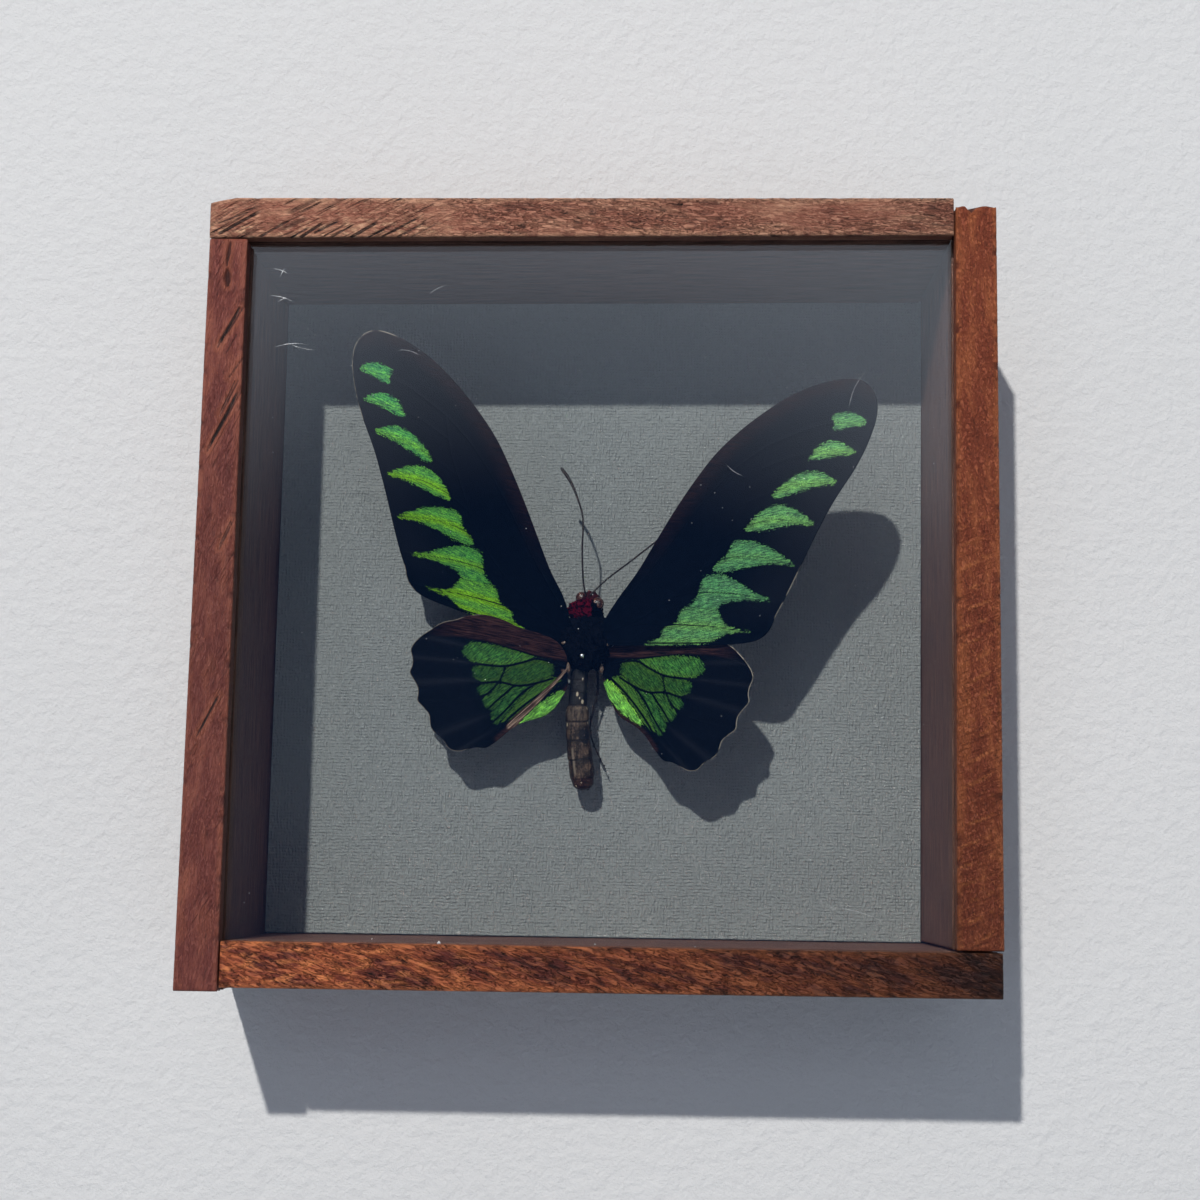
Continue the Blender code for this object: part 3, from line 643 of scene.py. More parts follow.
def linenCard():
    # grey card embossed like linen: broken uneven threads, across in some places, upright in others; the raised
    # threads are painted lighter as highlights
    finish = Finish("grey_linen", IOR=1.45, Specular_IOR_Level=0.2)
    place = finish.place()
    across = finish.noise(finish.stretch(place, (700.0, 2100.0, 1.0)), 1.0, 2.0, 0.55)
    upright = finish.noise(finish.stretch(place, (2100.0, 700.0, 1.0)), 1.0, 2.0, 0.55)
    patches = finish.noise(place, 90.0, 2.0).step(0.36, 0.64)
    weave = across.step(0.36, 0.64) * (0.3 + 0.4 * patches) + upright.step(0.36, 0.64) * (1.2 - 0.4 * patches)
    for line in finish.parts(place)[:2]:
        phase = line * (2 * math.pi / linenShape["thread"]) + finish.noise(place, 300.0, 2.0) * 7.0
        weave = weave + phase.sine() * 0.22
    grit = finish.noise(place, 4200.0, 3.0, 0.7)
    weave = weave + grit * 0.5
    worn = finish.noise(place, 26.0, 3.0)
    body = finish.mix(worn.step(0.3, 0.7), linenShape["dark"], linenShape["mid"])
    # painted highlight: raised threads made lighter by the same weave that raises them
    body = finish.mix((weave * 0.22).clamped(), body, linenShape["ridge"])
    body = finish.mix(grit.step(0.60, 0.72) * 0.35, body, linenShape["grit"])
    finish.set("Base Color", body)
    finish.set("Roughness", 0.9)
    finish.set("Normal", finish.bump(weave, linenShape["relief"]))
    return finish


def fibreBoard():
    finish = Finish("pressed_fibre", IOR=1.45)
    place = finish.place()
    felt = finish.noise(place, 900.0, 5.0, 0.7)
    strands = finish.noise(finish.stretch(place, (260.0, 1500.0, 1.0), 35), 1.0, 4.0, 0.65, 1.2)
    body = finish.mix(felt.step(0.3, 0.7), (0.23, 0.145, 0.08), (0.36, 0.25, 0.15))
    body = finish.mix(strands.step(0.58, 0.72) * 0.5, body, (0.13, 0.075, 0.04))
    finish.set("Base Color", body)
    finish.set("Roughness", 0.82)
    finish.set("Normal", finish.bump(felt + strands * 0.6, 0.00025, 0.8))
    return finish


for nodeName, finish in (("glass_pane", windowGlass()), ("linen_card", linenCard()),
                         ("backing_board", fibreBoard())):
    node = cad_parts[nodeName]
    node.data.materials.clear()
    node.data.materials.append(finish.material)


# crumbs: middle and size; scratches: start, end, sideways bow, half width
paneMarks = {
    "specks": 240, "speckSize": (0.04, 0.15), "seed": 12, "lift": 0.012, "sides": 5, "steps": 12,
    "crumbs": [((-31.1, -74.6), 0.62), ((1.3, -74.4), 0.30), ((-45.0, -74.0), 0.22), ((22.0, -74.6), 0.2)],
    "scratches": [
        ((-69.5, 51.6), (-62.6, 52.2), 0.5, 0.06), ((-66.8, 52.5), (-60.8, 51.0), -0.3, 0.05),
        ((-70.8, 63.0), (-66.2, 61.8), 0.3, 0.06), ((-69.3, 61.5), (-67.4, 62.6), 0.1, 0.05),
        ((-70.4, 69.0), (-67.2, 67.9), 0.2, 0.06), ((-68.9, 67.2), (-67.9, 69.2), 0.1, 0.05),
        ((-42.9, 51.2), (-38.4, 50.2), 0.4, 0.035), ((-36.6, 63.6), (-32.4, 65.8), 0.3, 0.035),
        ((28.0, 26.8), (31.2, 24.6), -0.3, 0.035), ((13.9, -42.8), (13.2, -46.6), 0.5, 0.035),
        ((49.0, -66.0), (62.0, -69.5), 0.8, 0.03), ((54.0, 40.0), (57.5, 47.5), 0.6, 0.03)],
}


def paneDust():
    # specks and scratches that catch the light on top of the glass
    random = np.random.default_rng(paneMarks["seed"])
    low, high = (np.array(corner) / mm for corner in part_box("glass_pane"))
    top = high[2] + paneMarks["lift"]
    verts, faces = [], []
    sides, steps = paneMarks["sides"], paneMarks["steps"]
    spots = [(random.uniform(low[:2] + 5, high[:2] - 5), random.uniform(*paneMarks["speckSize"]))
             for _ in range(paneMarks["specks"])]
    for middle, size in spots + [(np.array(spot), size) for spot, size in paneMarks["crumbs"]]:
        start = len(verts)
        for c in range(sides):
            turn = 2 * math.pi * (c + random.uniform(0, 0.6)) / sides
            reach = size * random.uniform(0.5, 1)
            verts.append((*(middle + reach * np.array([math.cos(turn), math.sin(turn)])), top))
        verts.append((*middle, top + 0.5 * size))
        verts.append((*middle, top - 0.006))
        for c in range(sides):
            d = (c + 1) % sides
            faces += [(start + c, start + d, start + sides), (start + d, start + c, start + sides + 1)]
    for begin, finishAt, bow, half in paneMarks["scratches"]:
        begin, finishAt = np.array(begin), np.array(finishAt)
        side = np.array([begin[1] - finishAt[1], finishAt[0] - begin[0]]) / np.linalg.norm(finishAt - begin)
        start = len(verts)
        for k in range(steps + 1):
            share = k / steps
            middle = begin + (finishAt - begin) * share + side * bow * math.sin(math.pi * share)
            wide = half * (0.25 + math.sin(math.pi * share)) * random.uniform(0.4, 1.2)
            for reach, z in ((-wide, 0.0), (0.0, 0.015), (wide, 0.0), (0.0, -0.006)):
                verts.append((*(middle + side * reach), top + z))
        for k in range(steps):
            for c in range(4):
                a, b = start + 4 * k + c, start + 4 * k + (c + 1) % 4
                faces.append((a, b, b + 4, a + 4))
        last = start + 4 * steps
        faces.append((start, start + 1, start + 2, start + 3))
        faces.append((last + 3, last + 2, last + 1, last))
    return meshPiece("pane_dust", verts, faces, smooth=False)


# middle, size and paleness of each crumb, then the many small ones
cardCrumbs = {
    "seed": 5, "small": 46, "smallSize": (0.06, 0.13), "sides": 6,
    "spots": [((-31.0, -74.0), 0.55, 1.0), ((1.3, -74.3), 0.35, 1.0), ((-56.5, -72.6), 0.3, 1.0),
              ((-52.0, -73.6), 0.2, 1.0), ((62.5, -73.0), 0.3, 1.0), ((36.0, -51.0), 0.2, 0.0),
              ((20.5, -52.6), 0.14, 0.0), ((-27.0, -64.0), 0.14, 0.0)],
}


def crumbs():
    # loose grains: white chips along the lower edge of the card, dark specks and lint on it
    random = np.random.default_rng(cardCrumbs["seed"])
    sides = cardCrumbs["sides"]
    low, high = (np.array(corner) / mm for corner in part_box("linen_card"))
    verts, faces, pale = [], [], []
    spots = cardCrumbs["spots"] + [
        (tuple(random.uniform(low[:2] + 4, high[:2] - 4)), random.uniform(*cardCrumbs["smallSize"]), 1.0)
        for _ in range(cardCrumbs["small"])]
    for (x, y), size, bright in spots:
        start = len(verts)
        for ring, z in ((0.8, 0.0), (1.0, 0.5)):
            for c in range(sides):
                turn = 2 * math.pi * c / sides
                reach = size * ring * random.uniform(0.55, 1.15)
                verts.append((x + reach * math.cos(turn), y + reach * math.sin(turn), high[2] + z * size))
        verts += [(x, y, high[2] + size), (x, y, high[2] - 0.005)]
        upper, top = start + sides, start + 2 * sides
        for c in range(sides):
            d = (c + 1) % sides
            faces += [(start + c, start + d, upper + d, upper + c), (upper + c, upper + d, top),
                      (start + d, start + c, top + 1)]
        pale += [bright] * (len(verts) - start)
    return meshPiece("card_crumbs", verts, faces, {"bright": pale}, smooth=False)


dustFinish = Finish("pale_dust", IOR=1.45, Specular_IOR_Level=0.2)
dustShade = dustFinish.noise(dustFinish.place(), 700.0, 2.0)
dustFinish.set("Base Color", dustFinish.mix(dustShade.step(0.3, 0.7), (0.40, 0.41, 0.42), (0.80, 0.80, 0.80)))
dustFinish.set("Roughness", (0.6 + dustShade * 0.3).clamped())
dress(paneDust(), dustFinish, "window_glass")
crumbFinish = Finish("loose_crumbs", IOR=1.45, Specular_IOR_Level=0.3)
crumbShade = crumbFinish.noise(crumbFinish.place(), 2600.0, 3.0)
crumbTone = crumbFinish.mix(crumbFinish.attribute("bright"), (0.02, 0.016, 0.014), (0.58, 0.56, 0.54))
crumbFinish.set("Base Color", crumbFinish.mix(crumbShade.step(0.3, 0.7) * 0.4, crumbTone, (0.10, 0.09, 0.08)))
crumbFinish.set("Roughness", (0.6 + crumbShade * 0.3).clamped())
dress(crumbs(), crumbFinish, "grey_linen_card")
print("pane, card and board finished")


# Wings

# rims of the right wings laid flat, in mm: hind edge outward, margin, leading edge back
forewingRim = [
    (10, -1.7), (20, -2.0), (29, -1.9), (35.5, -1.5), (38.6, -0.4), (40.4, 1.4), (41.8, 4.2),
    (43.6, 7.2), (45.6, 10.8), (47.6, 14.6), (49.8, 18.8), (52.2, 23.2), (55.0, 28.0), (57.6, 31.8),
    (59.6, 34.6), (61.2, 37.2), (62.6, 39.8), (63.9, 42.8), (65.0, 46.2), (65.2, 49.8), (64.0, 52.8),
    (61.4, 54.7), (57.0, 55.0), (51.5, 54.0), (46.0, 52.0), (40.3, 48.9), (34.5, 45.0), (29.0, 40.4),
    (24.2, 35.0), (19.2, 28.6), (14.6, 22.2), (9.4, 14.9), (4.8, 9.6),
]
hindwingRim = [
    (2.2, -7.4), (4.2, -10.4), (6.2, -11.7), (8.6, -13.1), (10.8, -15.2), (12.8, -18.0), (14.0, -19.5),
    (15.3, -20.7), (17.4, -21.1), (19.3, -22.1), (21.2, -23.0), (23.2, -22.9), (24.6, -21.8),
    (25.9, -20.8), (27.9, -19.9), (29.0, -18.4), (29.9, -16.4), (31.7, -15.1), (33.3, -14.0),
    (33.6, -12.4), (34.1, -11.0), (35.5, -9.5), (36.8, -8.1), (36.7, -6.4), (37.1, -4.8), (38.0, -3.0),
    (37.7, -1.3), (36.7, 0.4), (35.3, 2.1), (33.5, 3.9), (31.8, 5.0), (29.5, 5.9), (27.4, 7.0),
    (24.6, 8.1), (21.8, 8.5), (18.2, 8.2), (14.4, 7.4), (9.7, 7.2), (5.6, 6.4),
]

# green patches of the forewing from the tip down: outline from the inner end over the top to the point
forewingPatches = [
    [(55.6, 44.1), (55.9, 45.6), (55.4, 47.0), (57.8, 47.7), (60.3, 47.4), (62.2, 46.2), (62.6, 45.0),
     (59.4, 44.6)],
    [(50.0, 38.0), (50.9, 39.2), (51.6, 40.3), (53.4, 41.3), (55.4, 41.7), (57.8, 41.0), (60.1, 39.3),
     (59.8, 38.6), (56.0, 38.5), (52.9, 38.0)],
    [(41.7, 30.4), (43.2, 32.2), (45.2, 33.5), (47.7, 34.9), (50.8, 35.3), (53.4, 34.7), (56.1, 32.6),
     (53.4, 32.2), (50.4, 31.8), (46.6, 30.8), (43.1, 29.9)],
    [(35.5, 23.0), (36.6, 24.9), (38.3, 26.4), (40.6, 27.9), (43.8, 28.3), (46.4, 27.4), (48.9, 25.6),
     (50.8, 23.7), (47.6, 23.9), (44.1, 23.7), (39.6, 23.0)],
    [(27.6, 14.5), (29.2, 16.6), (31.2, 18.1), (32.6, 20.6), (35.6, 20.8), (39.5, 19.8), (42.4, 18.0),
     (46.2, 15.1), (42.8, 15.5), (39.4, 15.5), (35.5, 15.0), (31.0, 14.2)],
    [(21.6, 6.4), (23.6, 8.8), (24.4, 10.8), (25.4, 13.2), (28.2, 13.7), (31.0, 13.0), (34.4, 11.2),
     (37.2, 9.3), (40.9, 7.6), (36.6, 7.8), (32.5, 7.7), (29.6, 7.2), (27.8, 6.0)],
    [(10.6, -1.5), (14.4, 0.0), (15.1, 1.7), (18.3, 3.3), (19.4, 5.5), (22.0, 6.9), (26.0, 6.6),
     (28.4, 5.8), (29.3, 3.6), (31.0, 2.0), (35.6, 0.9), (31.6, 0.7), (28.6, -0.1), (26.0, -1.4),
     (18.0, -1.7)],
]
# each vein from the cell through its patch to the margin
forewingVeins = [
    [(2.0, 4.6), (12.0, 14.5), (24.0, 28.0), (33.0, 36.5), (41.0, 41.5)],
    [(1.5, 1.5), (10.0, 4.6), (18.5, 9.6), (26.5, 16.6), (33.0, 26.0), (38.0, 34.0), (41.0, 41.5)],
    [(41.0, 41.5), (50.0, 44.6), (56.5, 45.6), (62.4, 45.2), (65.0, 45.6)],
    [(39.5, 36.5), (46.0, 38.6), (52.0, 39.4), (60.0, 38.9), (62.4, 39.0)],
    [(35.0, 29.0), (41.0, 31.0), (47.4, 32.6), (56.0, 32.6), (58.4, 32.2)],
    [(30.0, 21.6), (36.0, 24.2), (43.0, 25.2), (50.6, 23.8), (52.8, 23.6)],
    [(25.0, 15.2), (30.6, 17.2), (38.0, 17.2), (46.0, 15.2), (48.2, 15.0)],
    [(18.0, 9.2), (24.0, 9.8), (32.0, 9.4), (40.6, 7.7), (43.8, 7.3)],
    [(8.0, 3.2), (17.0, 2.9), (26.0, 2.3), (35.2, 1.0), (40.4, 0.8)],
    [(1.0, -0.8), (14.0, -1.2), (28.0, -1.4)],
]

# green fields of the hindwing, from the leading edge round to the bright lens by the body
hindwingFields = [
    {"rim": [(10.0, 1.9), (12.8, 2.3), (16.7, 2.5), (20.8, 2.4), (23.9, 1.9), (25.6, 0.8), (26.0, -0.4),
             (25.0, -1.4), (23.0, -2.1), (19.2, -1.8), (16.2, -1.2), (13.8, -0.1), (11.6, 1.1)],
     "bright": 0.58, "lime": 0.35},
    {"rim": [(15.9, -1.9), (18.1, -2.1), (21.1, -2.8), (22.8, -3.8), (22.4, -5.0), (21.3, -5.8),
             (19.8, -6.1), (18.0, -5.6), (16.5, -5.0), (16.1, -3.6)], "bright": 0.34, "lime": 0.35},
    {"rim": [(6.0, 1.6), (8.3, 2.0), (9.6, 1.5), (12.1, 0.2), (15.0, -1.5), (15.4, -3.2), (15.8, -5.0),
             (13.6, -5.2), (10.3, -4.3), (7.6, -3.0), (5.6, -1.2), (5.0, 0.2)], "bright": 0.30, "lime": 0.45},
    {"rim": [(16.4, -5.8), (17.7, -6.1), (19.5, -7.0), (20.6, -8.0), (19.7, -9.1), (18.2, -8.4),
             (16.9, -7.1)], "bright": 0.38, "lime": 0.25},
    {"rim": [(13.1, -5.9), (15.3, -5.8), (16.4, -7.1), (17.8, -9.0), (18.5, -10.3), (17.3, -11.5),
             (16.0, -11.6), (15.0, -9.4), (13.9, -7.5)], "bright": 0.40, "lime": 0.3},
    {"rim": [(9.2, -4.5), (12.5, -5.8), (13.6, -7.8), (14.8, -10.3), (15.8, -12.5), (15.0, -14.6),
             (13.9, -14.2), (12.9, -11.9), (11.4, -8.5), (9.8, -6.0)], "bright": 0.42, "lime": 0.2},
    {"rim": [(3.0, -1.8), (5.2, -1.6), (7.5, -3.7), (9.2, -6.0), (10.6, -8.4), (12.1, -11.7),
             (13.1, -13.9), (11.6, -12.9), (9.6, -10.6), (7.9, -8.2), (5.8, -5.4), (3.9, -3.1)],
     "bright": 0.42, "lime": 0.5},
    {"rim": [(0.5, -2.9), (1.9, -2.6), (3.7, -4.0), (5.6, -6.2), (7.2, -8.2), (8.6, -10.0), (9.7, -12.3),
             (7.8, -11.3), (5.9, -10.1), (3.6, -8.2), (1.7, -5.9), (0.6, -4.3)], "bright": 1.5, "lime": 0.75},
]
hindwingVeins = [
    [(2.6, 1.6), (8.9, 2.0), (12.0, 0.4), (15.8, -1.5), (20.0, -2.3), (27.0, -3.0), (38.0, -3.0)],
    [(15.8, -1.5), (15.9, -3.2), (16.3, -5.4)],
    [(4.6, -1.6), (8.0, -3.6), (11.8, -5.2), (16.3, -5.4), (20.5, -6.6), (28.0, -7.4), (36.8, -8.1)],
    [(16.3, -5.4), (18.5, -9.0), (24.0, -11.8), (33.3, -14.0)],
    [(12.8, -5.5), (15.6, -9.6), (18.6, -13.6), (27.9, -19.9)],
    [(8.2, -3.8), (10.8, -7.0), (13.4, -11.8), (16.6, -16.6), (21.2, -23.0)],
    [(2.0, -1.4), (6.0, -5.2), (9.8, -9.8), (12.8, -14.6), (15.3, -20.7)],
    [(2.6, 3.6), (9.4, 2.6), (16.7, 3.0), (22.0, 3.2), (28.0, 2.6), (33.0, 1.4), (37.0, -0.6)],
]

wingShapes = {
    "forewing_right": {"rim": forewingRim, "hinge": [(1.2, 5.0), (-0.4, 1.8), (0.0, -1.2)],
                       "at": (1.5, -7.2, 20.4), "turn": (7.1, -21.5, -0.5), "crown": 2.0, "rings": 104},
    "forewing_left": {"rim": forewingRim, "hinge": [(2.2, 5.2), (1.4, 2.0), (1.8, -1.4)], "mirrored": True,
                      "at": (-5.35, -7.5, 19.8), "turn": (28.6, -3.5, -19.0), "crown": 1.2, "rings": 104},
    "hindwing_right": {"rim": hindwingRim, "hinge": [(1.6, 4.6), (0.4, 1.4), (0.4, -2.8)],
                       "at": (1.4, -14.1, 16.4), "turn": (6.0, -28.8, 0.0), "crown": 0.2, "rings": 84},
    "hindwing_left": {"rim": hindwingRim, "hinge": [(3.0, 4.2), (1.8, 0.7), (1.0, -2.6)], "mirrored": True,
                      "at": (-4.8, -15.8, 19.6), "turn": (-4.8, -4.2, -13.5), "crown": 0.4, "rings": 84,
                      "lift": {"start": 2.6, "height": 2.6, "width": 4.5}},
}
wingSheet = {"thick": 0.2, "rimStep": 0.5, "hubOffset": (0.5, 0.1), "ringCrowding": 0.8,
             "veinRise": 0.05, "veinHalf": 0.2}


def wingPlan(shape):
    # fan of rings from the hinge to the smoothed rim, in flat wing measures
    hinge = np.array(shape["hinge"], float)
    loop = roundedLoop(list(map(tuple, hinge)) + shape["rim"], 8)
    loop = evenly(loop, wingSheet["rimStep"], closed=True)
    hub = hinge.mean(0) + wingSheet["hubOffset"]
    shares = (np.arange(1, shape["rings"] + 1) / shape["rings"]) ** wingSheet["ringCrowding"]
    points = [hub[None]]
    for share in shares:
        points.append(hub + (loop - hub) * share)
    return np.vstack(points), loop, len(loop)


def wingHeight(shape, plan, veinGap):
    corners = np.array(shape["hinge"] + shape["rim"], float)
    reach = np.linalg.norm(corners, axis=1).max()
    height = shape["crown"] * np.sin(np.pi * np.minimum(1, np.linalg.norm(plan, axis=1) / reach))
    lift = shape.get("lift")
    if lift:
        height += lift["height"] * np.clip((plan[:, 1] - lift["start"]) / lift["width"], 0, 1)
    return height + wingSheet["veinRise"] * np.exp(-(veinGap / (1.6 * wingSheet["veinHalf"])) ** 2)


def wingPiece(name, veins, marks):
    # marks(plan, loop) gives the colour attributes
    shape = wingShapes[name]
    plan, loop, count = wingPlan(shape)
    veinGap = np.full(len(plan), 1e3)
    for vein in veins:
        gap, _ = distanceToLine(plan, smoothLine(vein, 4))
        veinGap = np.minimum(veinGap, gap)
    edgeGap, _ = distanceToLine(plan, loop, closed=True)
    attributes = marks(plan, loop)
    attributes["vein"] = veinGap
    attributes["edge"] = edgeGap
    attributes["plan"] = np.column_stack([plan, np.zeros(len(plan))])
    side = -1 if shape.get("mirrored") else 1
    flat = np.column_stack([side * plan[:, 0], plan[:, 1], wingHeight(shape, plan, veinGap)])
    turn = np.array(Euler([math.radians(a) for a in shape["turn"]]).to_matrix())
    faces = [(0, 1 + c, 1 + (c + 1) % count) for c in range(count)]
    faces += gridFaces(shape["rings"], count, start=1)
    piece = meshPiece(name + "_scales", flat @ turn.T + shape["at"], faces, attributes)
    shell = piece.modifiers.new("membrane", "SOLIDIFY")
    shell.thickness = wingSheet["thick"] * mm
    shell.offset = 0.0
    bakeModifiers(piece)
    return piece


def forewingMarks(lime, paleRim, tipBright):
    # paleRim: stretches of the rim, by their corners' numbers, where the scales are worn to a pale line
    def marks(plan, loop):
        green = np.full(len(plan), -1e3)
        hue = np.zeros(len(plan))
        for number, patch in enumerate(forewingPatches):
            gap = signedDistance(plan, evenly(roundedLoop(patch, 6), 0.25, closed=True))
            nearer = gap > green
            green = np.where(nearer, gap, green)
            hue = np.where(nearer, lime[number], hue)
        lead, _ = distanceToLine(plan, smoothLine(forewingRim[20:], 3))
        brown = (1 - ramp(lead, 0.4, 4.5)) * ramp(plan[:, 1], 10, 34) * 0.45
        margin, _ = distanceToLine(plan, smoothLine(forewingRim[4:20], 3))
        smoke = (1 - ramp(margin, 1.0, 14.0)) * ramp(plan[:, 1], 0, 10)
        pale = np.zeros(len(plan))
        for first, last in paleRim:
            gap, _ = distanceToLine(plan, smoothLine(forewingRim[first:last], 3))
            pale = np.maximum(pale, 1 - ramp(gap, 0.2, 0.6))
        bright = 0.8 + (tipBright - 0.8) * ramp(plan[:, 1], 14, 38)
        return {"green": green, "lime": hue, "bright": bright, "brown": brown, "smoke": smoke,
                "fold": np.zeros(len(plan)), "pale": pale}
    return marks


def hindwingMarks(folded):
    # folded: the left wing, drawn with its fold beside the body, darker fields and the lens pushed down
    def marks(plan, loop):
        green = np.full(len(plan), -1e3)
        hue, bright = np.zeros(len(plan)), np.zeros(len(plan))
        for field in hindwingFields:
            rim = [(x, y - (1.6 if folded and field["bright"] > 1 else 0.0)) for x, y in field["rim"]]
            gap = signedDistance(plan, evenly(roundedLoop(rim, 6), 0.25, closed=True)) + 0.22
            nearer = gap > green
            green = np.where(nearer, gap, green)
            hue = np.where(nearer, field["lime"], hue)
            bright = np.where(nearer, field["bright"] * (0.42 if folded else 1.0), bright)
        above = ramp(plan[:, 1] - np.interp(plan[:, 0], [0, 9.4, 16.7, 22, 28, 33, 38],
                                            [3.0, 2.5, 2.9, 3.0, 2.5, 1.4, -0.6]), -0.1, 0.5)
        brown = above * (1 - ramp(plan[:, 0], 27, 36))
        inner, _ = distanceToLine(plan, smoothLine([(0.4, -2.8), (2.2, -7.4), (4.2, -10.4), (6.2, -11.7),
                                                    (8.6, -13.1), (10.8, -15.2), (12.8, -18.0)], 3))
        brown = np.maximum(brown, (1 - ramp(inner, 0.5, 1.3)) * 0.8)
        turn = np.arctan2(plan[:, 1] - 1.0, plan[:, 0] + 3.0)
        rays = np.clip(np.sin(turn * 31 + 2.2 * np.sin(turn * 9 + 1)), 0, 1) ** 4
        # painted sheen: a grey band with lighter rays over the hindwing's black
        smoke = ramp(plan[:, 0] - plan[:, 1] * 0.5, 19, 30) * (1 - above) * (0.25 + 1.2 * rays)
        fold, along = distanceToLine(plan, smoothLine([(1.7, 2.1), (3.2, -1.0), (5.2, -4.6), (7.2, -8.2),
                                                       (9.4, -11.6), (11.0, -14.6)], 4))
        wide = 0.22 + 0.95 * along ** 0.9
        streak = (1 - ramp(fold, 0.0, wide)) if folded else np.zeros(len(plan))
        green = np.where(streak > 0.05, -1.0, green)
        outer, _ = distanceToLine(plan, smoothLine(hindwingRim[9:34], 3))
        pale = (1 - ramp(outer, 0.15, 0.5)) * (0.45 if folded else 1.0)
        return {"green": green, "lime": hue, "bright": bright, "brown": brown, "smoke": smoke, "fold": streak,
                "pale": pale}
    return marks


def wingScales(name, black, teal, emerald, lime, sheen, grainTurn, veinWide):
    # velvet black scales, shining green ones in ragged streaked patches, brown bands, a worn pale edge,
    # smoky grey by the forewing margin and painted sheen rays on the hindwing's black
    finish = Finish(name, IOR=1.4, Specular_IOR_Level=0.02)
    plan = finish.attribute("plan", "Vector")
    green, hue, bright = (finish.attribute(key) for key in ("green", "lime", "bright"))
    brown, smoke, fold = (finish.attribute(key) for key in ("brown", "smoke", "fold"))
    vein, edge, worn = (finish.attribute(key) for key in ("vein", "edge", "pale"))
    scale = finish.node("SeparateColor", {}, [finish.cells(plan, 5.0, out="Color")])
    scaleGap = finish.cells(plan, 5.0)
    ragged = finish.noise(plan, 2.6, 5.0, 0.75)
    mottle = finish.noise(plan, 0.55, 3.0)
    spots = finish.noise(plan, 1.7, 3.0, 0.65)
    rows = finish.noise(finish.stretch(plan, (0.55, 3.6, 1.0), grainTurn), 1.0, 4.0, 0.65)
    inside = (green + (ragged - 0.5) * 1.3 + (rows - 0.5) * 1.9 + (scale - 0.5) * 0.45).step(-0.04, 0.10)
    open = vein.step(0.45 * veinWide, veinWide)
    patch = inside * open
    depth = green.step(0.1, 1.5)
    shine = finish.mix((mottle.step(0.35, 0.65) * 0.6 + rows.step(0.56, 0.40) * 0.5).clamped(), emerald, teal)
    limeShare = (hue * (0.55 + vein.step(0.2, 1.6, 0.75, 0.0)) + (rows - 0.5) * 1.3
                 + (scale - 0.5) * 0.25 - 0.05)
    shine = finish.mix(limeShare.clamped(), shine, lime)
    sparkle = (0.50 + scale * 0.70 + rows.step(0.42, 0.66) * 0.80 + spots.step(0.58, 0.72) * 0.5) * bright
    shine = finish.tone(shine, sparkle * (1.0 - scaleGap * 0.5) * (0.80 + 0.25 * depth))
    dark = finish.mix(mottle.step(0.3, 0.75), black, tuple(1.7 * c for c in black))
    # black turned toward grey: smoky scales by the forewing margin, painted sheen on the hindwing
    dark = finish.mix((smoke * (0.25 + 0.7 * spots)).clamped(), dark, (0.0095, 0.0105, 0.0145))
    bands = finish.noise(finish.stretch(plan, (0.22, 3.2, 1.0), -4.0), 1.0, 4.0, 0.7)
    dark = finish.mix((brown * bands.step(0.34, 0.66)).clamped(), dark, (0.060, 0.024, 0.020))
    dark = finish.mix((brown * bands.step(0.62, 0.72) * 0.5).clamped(), dark, (0.16, 0.085, 0.065))
    dark = finish.mix((vein.step(0.04, 0.16, 0.35, 0.0) * smoke).clamped(), dark, (0.022, 0.024, 0.030))
    body = finish.mix(patch, dark, shine)
    lines = finish.noise(finish.stretch(plan, (0.12, 5.0, 1.0), -56.0), 1.0, 3.0, 0.6)
    streak = finish.mix((lines.step(0.46, 0.60) * fold.step(0.1, 0.5)).clamped(), (0.045, 0.022, 0.017),
                        (0.36, 0.245, 0.185))
    body = finish.mix(fold.step(0.0, 0.15), body, streak)
    pale = edge.step(0.05, 0.20, 1.0, 0.0) * finish.noise(plan, 0.35, 2.0).step(0.36, 0.54) * worn
    body = finish.mix((pale * 0.9).clamped(), body, (0.50, 0.42, 0.34))
    finish.set("Base Color", body)
    finish.set("Roughness", (0.78 - patch * 0.30 - fold * 0.3).clamped())
    finish.set("Metallic", (patch * sheen).clamped())
    height = scaleGap * -0.6 + vein.step(0.0, 0.25, 0.6, 0.0) + ragged * 0.25
    finish.set("Normal", finish.bump(height, 0.00006, 0.8))
    return finish


scaleTones = {
    "emerald_forewing_scales": {
        "black": (0.0010, 0.0017, 0.0038), "teal": (0.080, 0.200, 0.115), "emerald": (0.135, 0.43, 0.160),
        "lime": (0.28, 0.56, 0.100), "sheen": 0.15, "grainTurn": 7.0, "veinWide": 0.20},
    # left forewing: greener, more lime scales, the same scales' iridescent sheen at another angle: painted sheen
    "lime_forewing_scales": {
        "black": (0.0010, 0.0017, 0.0036), "teal": (0.030, 0.240, 0.120), "emerald": (0.075, 0.50, 0.115),
        "lime": (0.30, 0.68, 0.025), "sheen": 0.15, "grainTurn": 4.0, "veinWide": 0.20},
    "hindwing_scales": {
        "black": (0.0008, 0.0014, 0.0030), "teal": (0.030, 0.125, 0.045), "emerald": (0.085, 0.40, 0.090),
        "lime": (0.30, 0.62, 0.050), "sheen": 0.12, "grainTurn": -52.0, "veinWide": 0.34},
}
scaleFinishes = {name: wingScales(name, **tones) for name, tones in scaleTones.items()}
# how lime each forewing patch is, from the tip down
rightLime = [0.25, 0.45, 0.45, 0.40, 0.20, 0.10, 0.40]
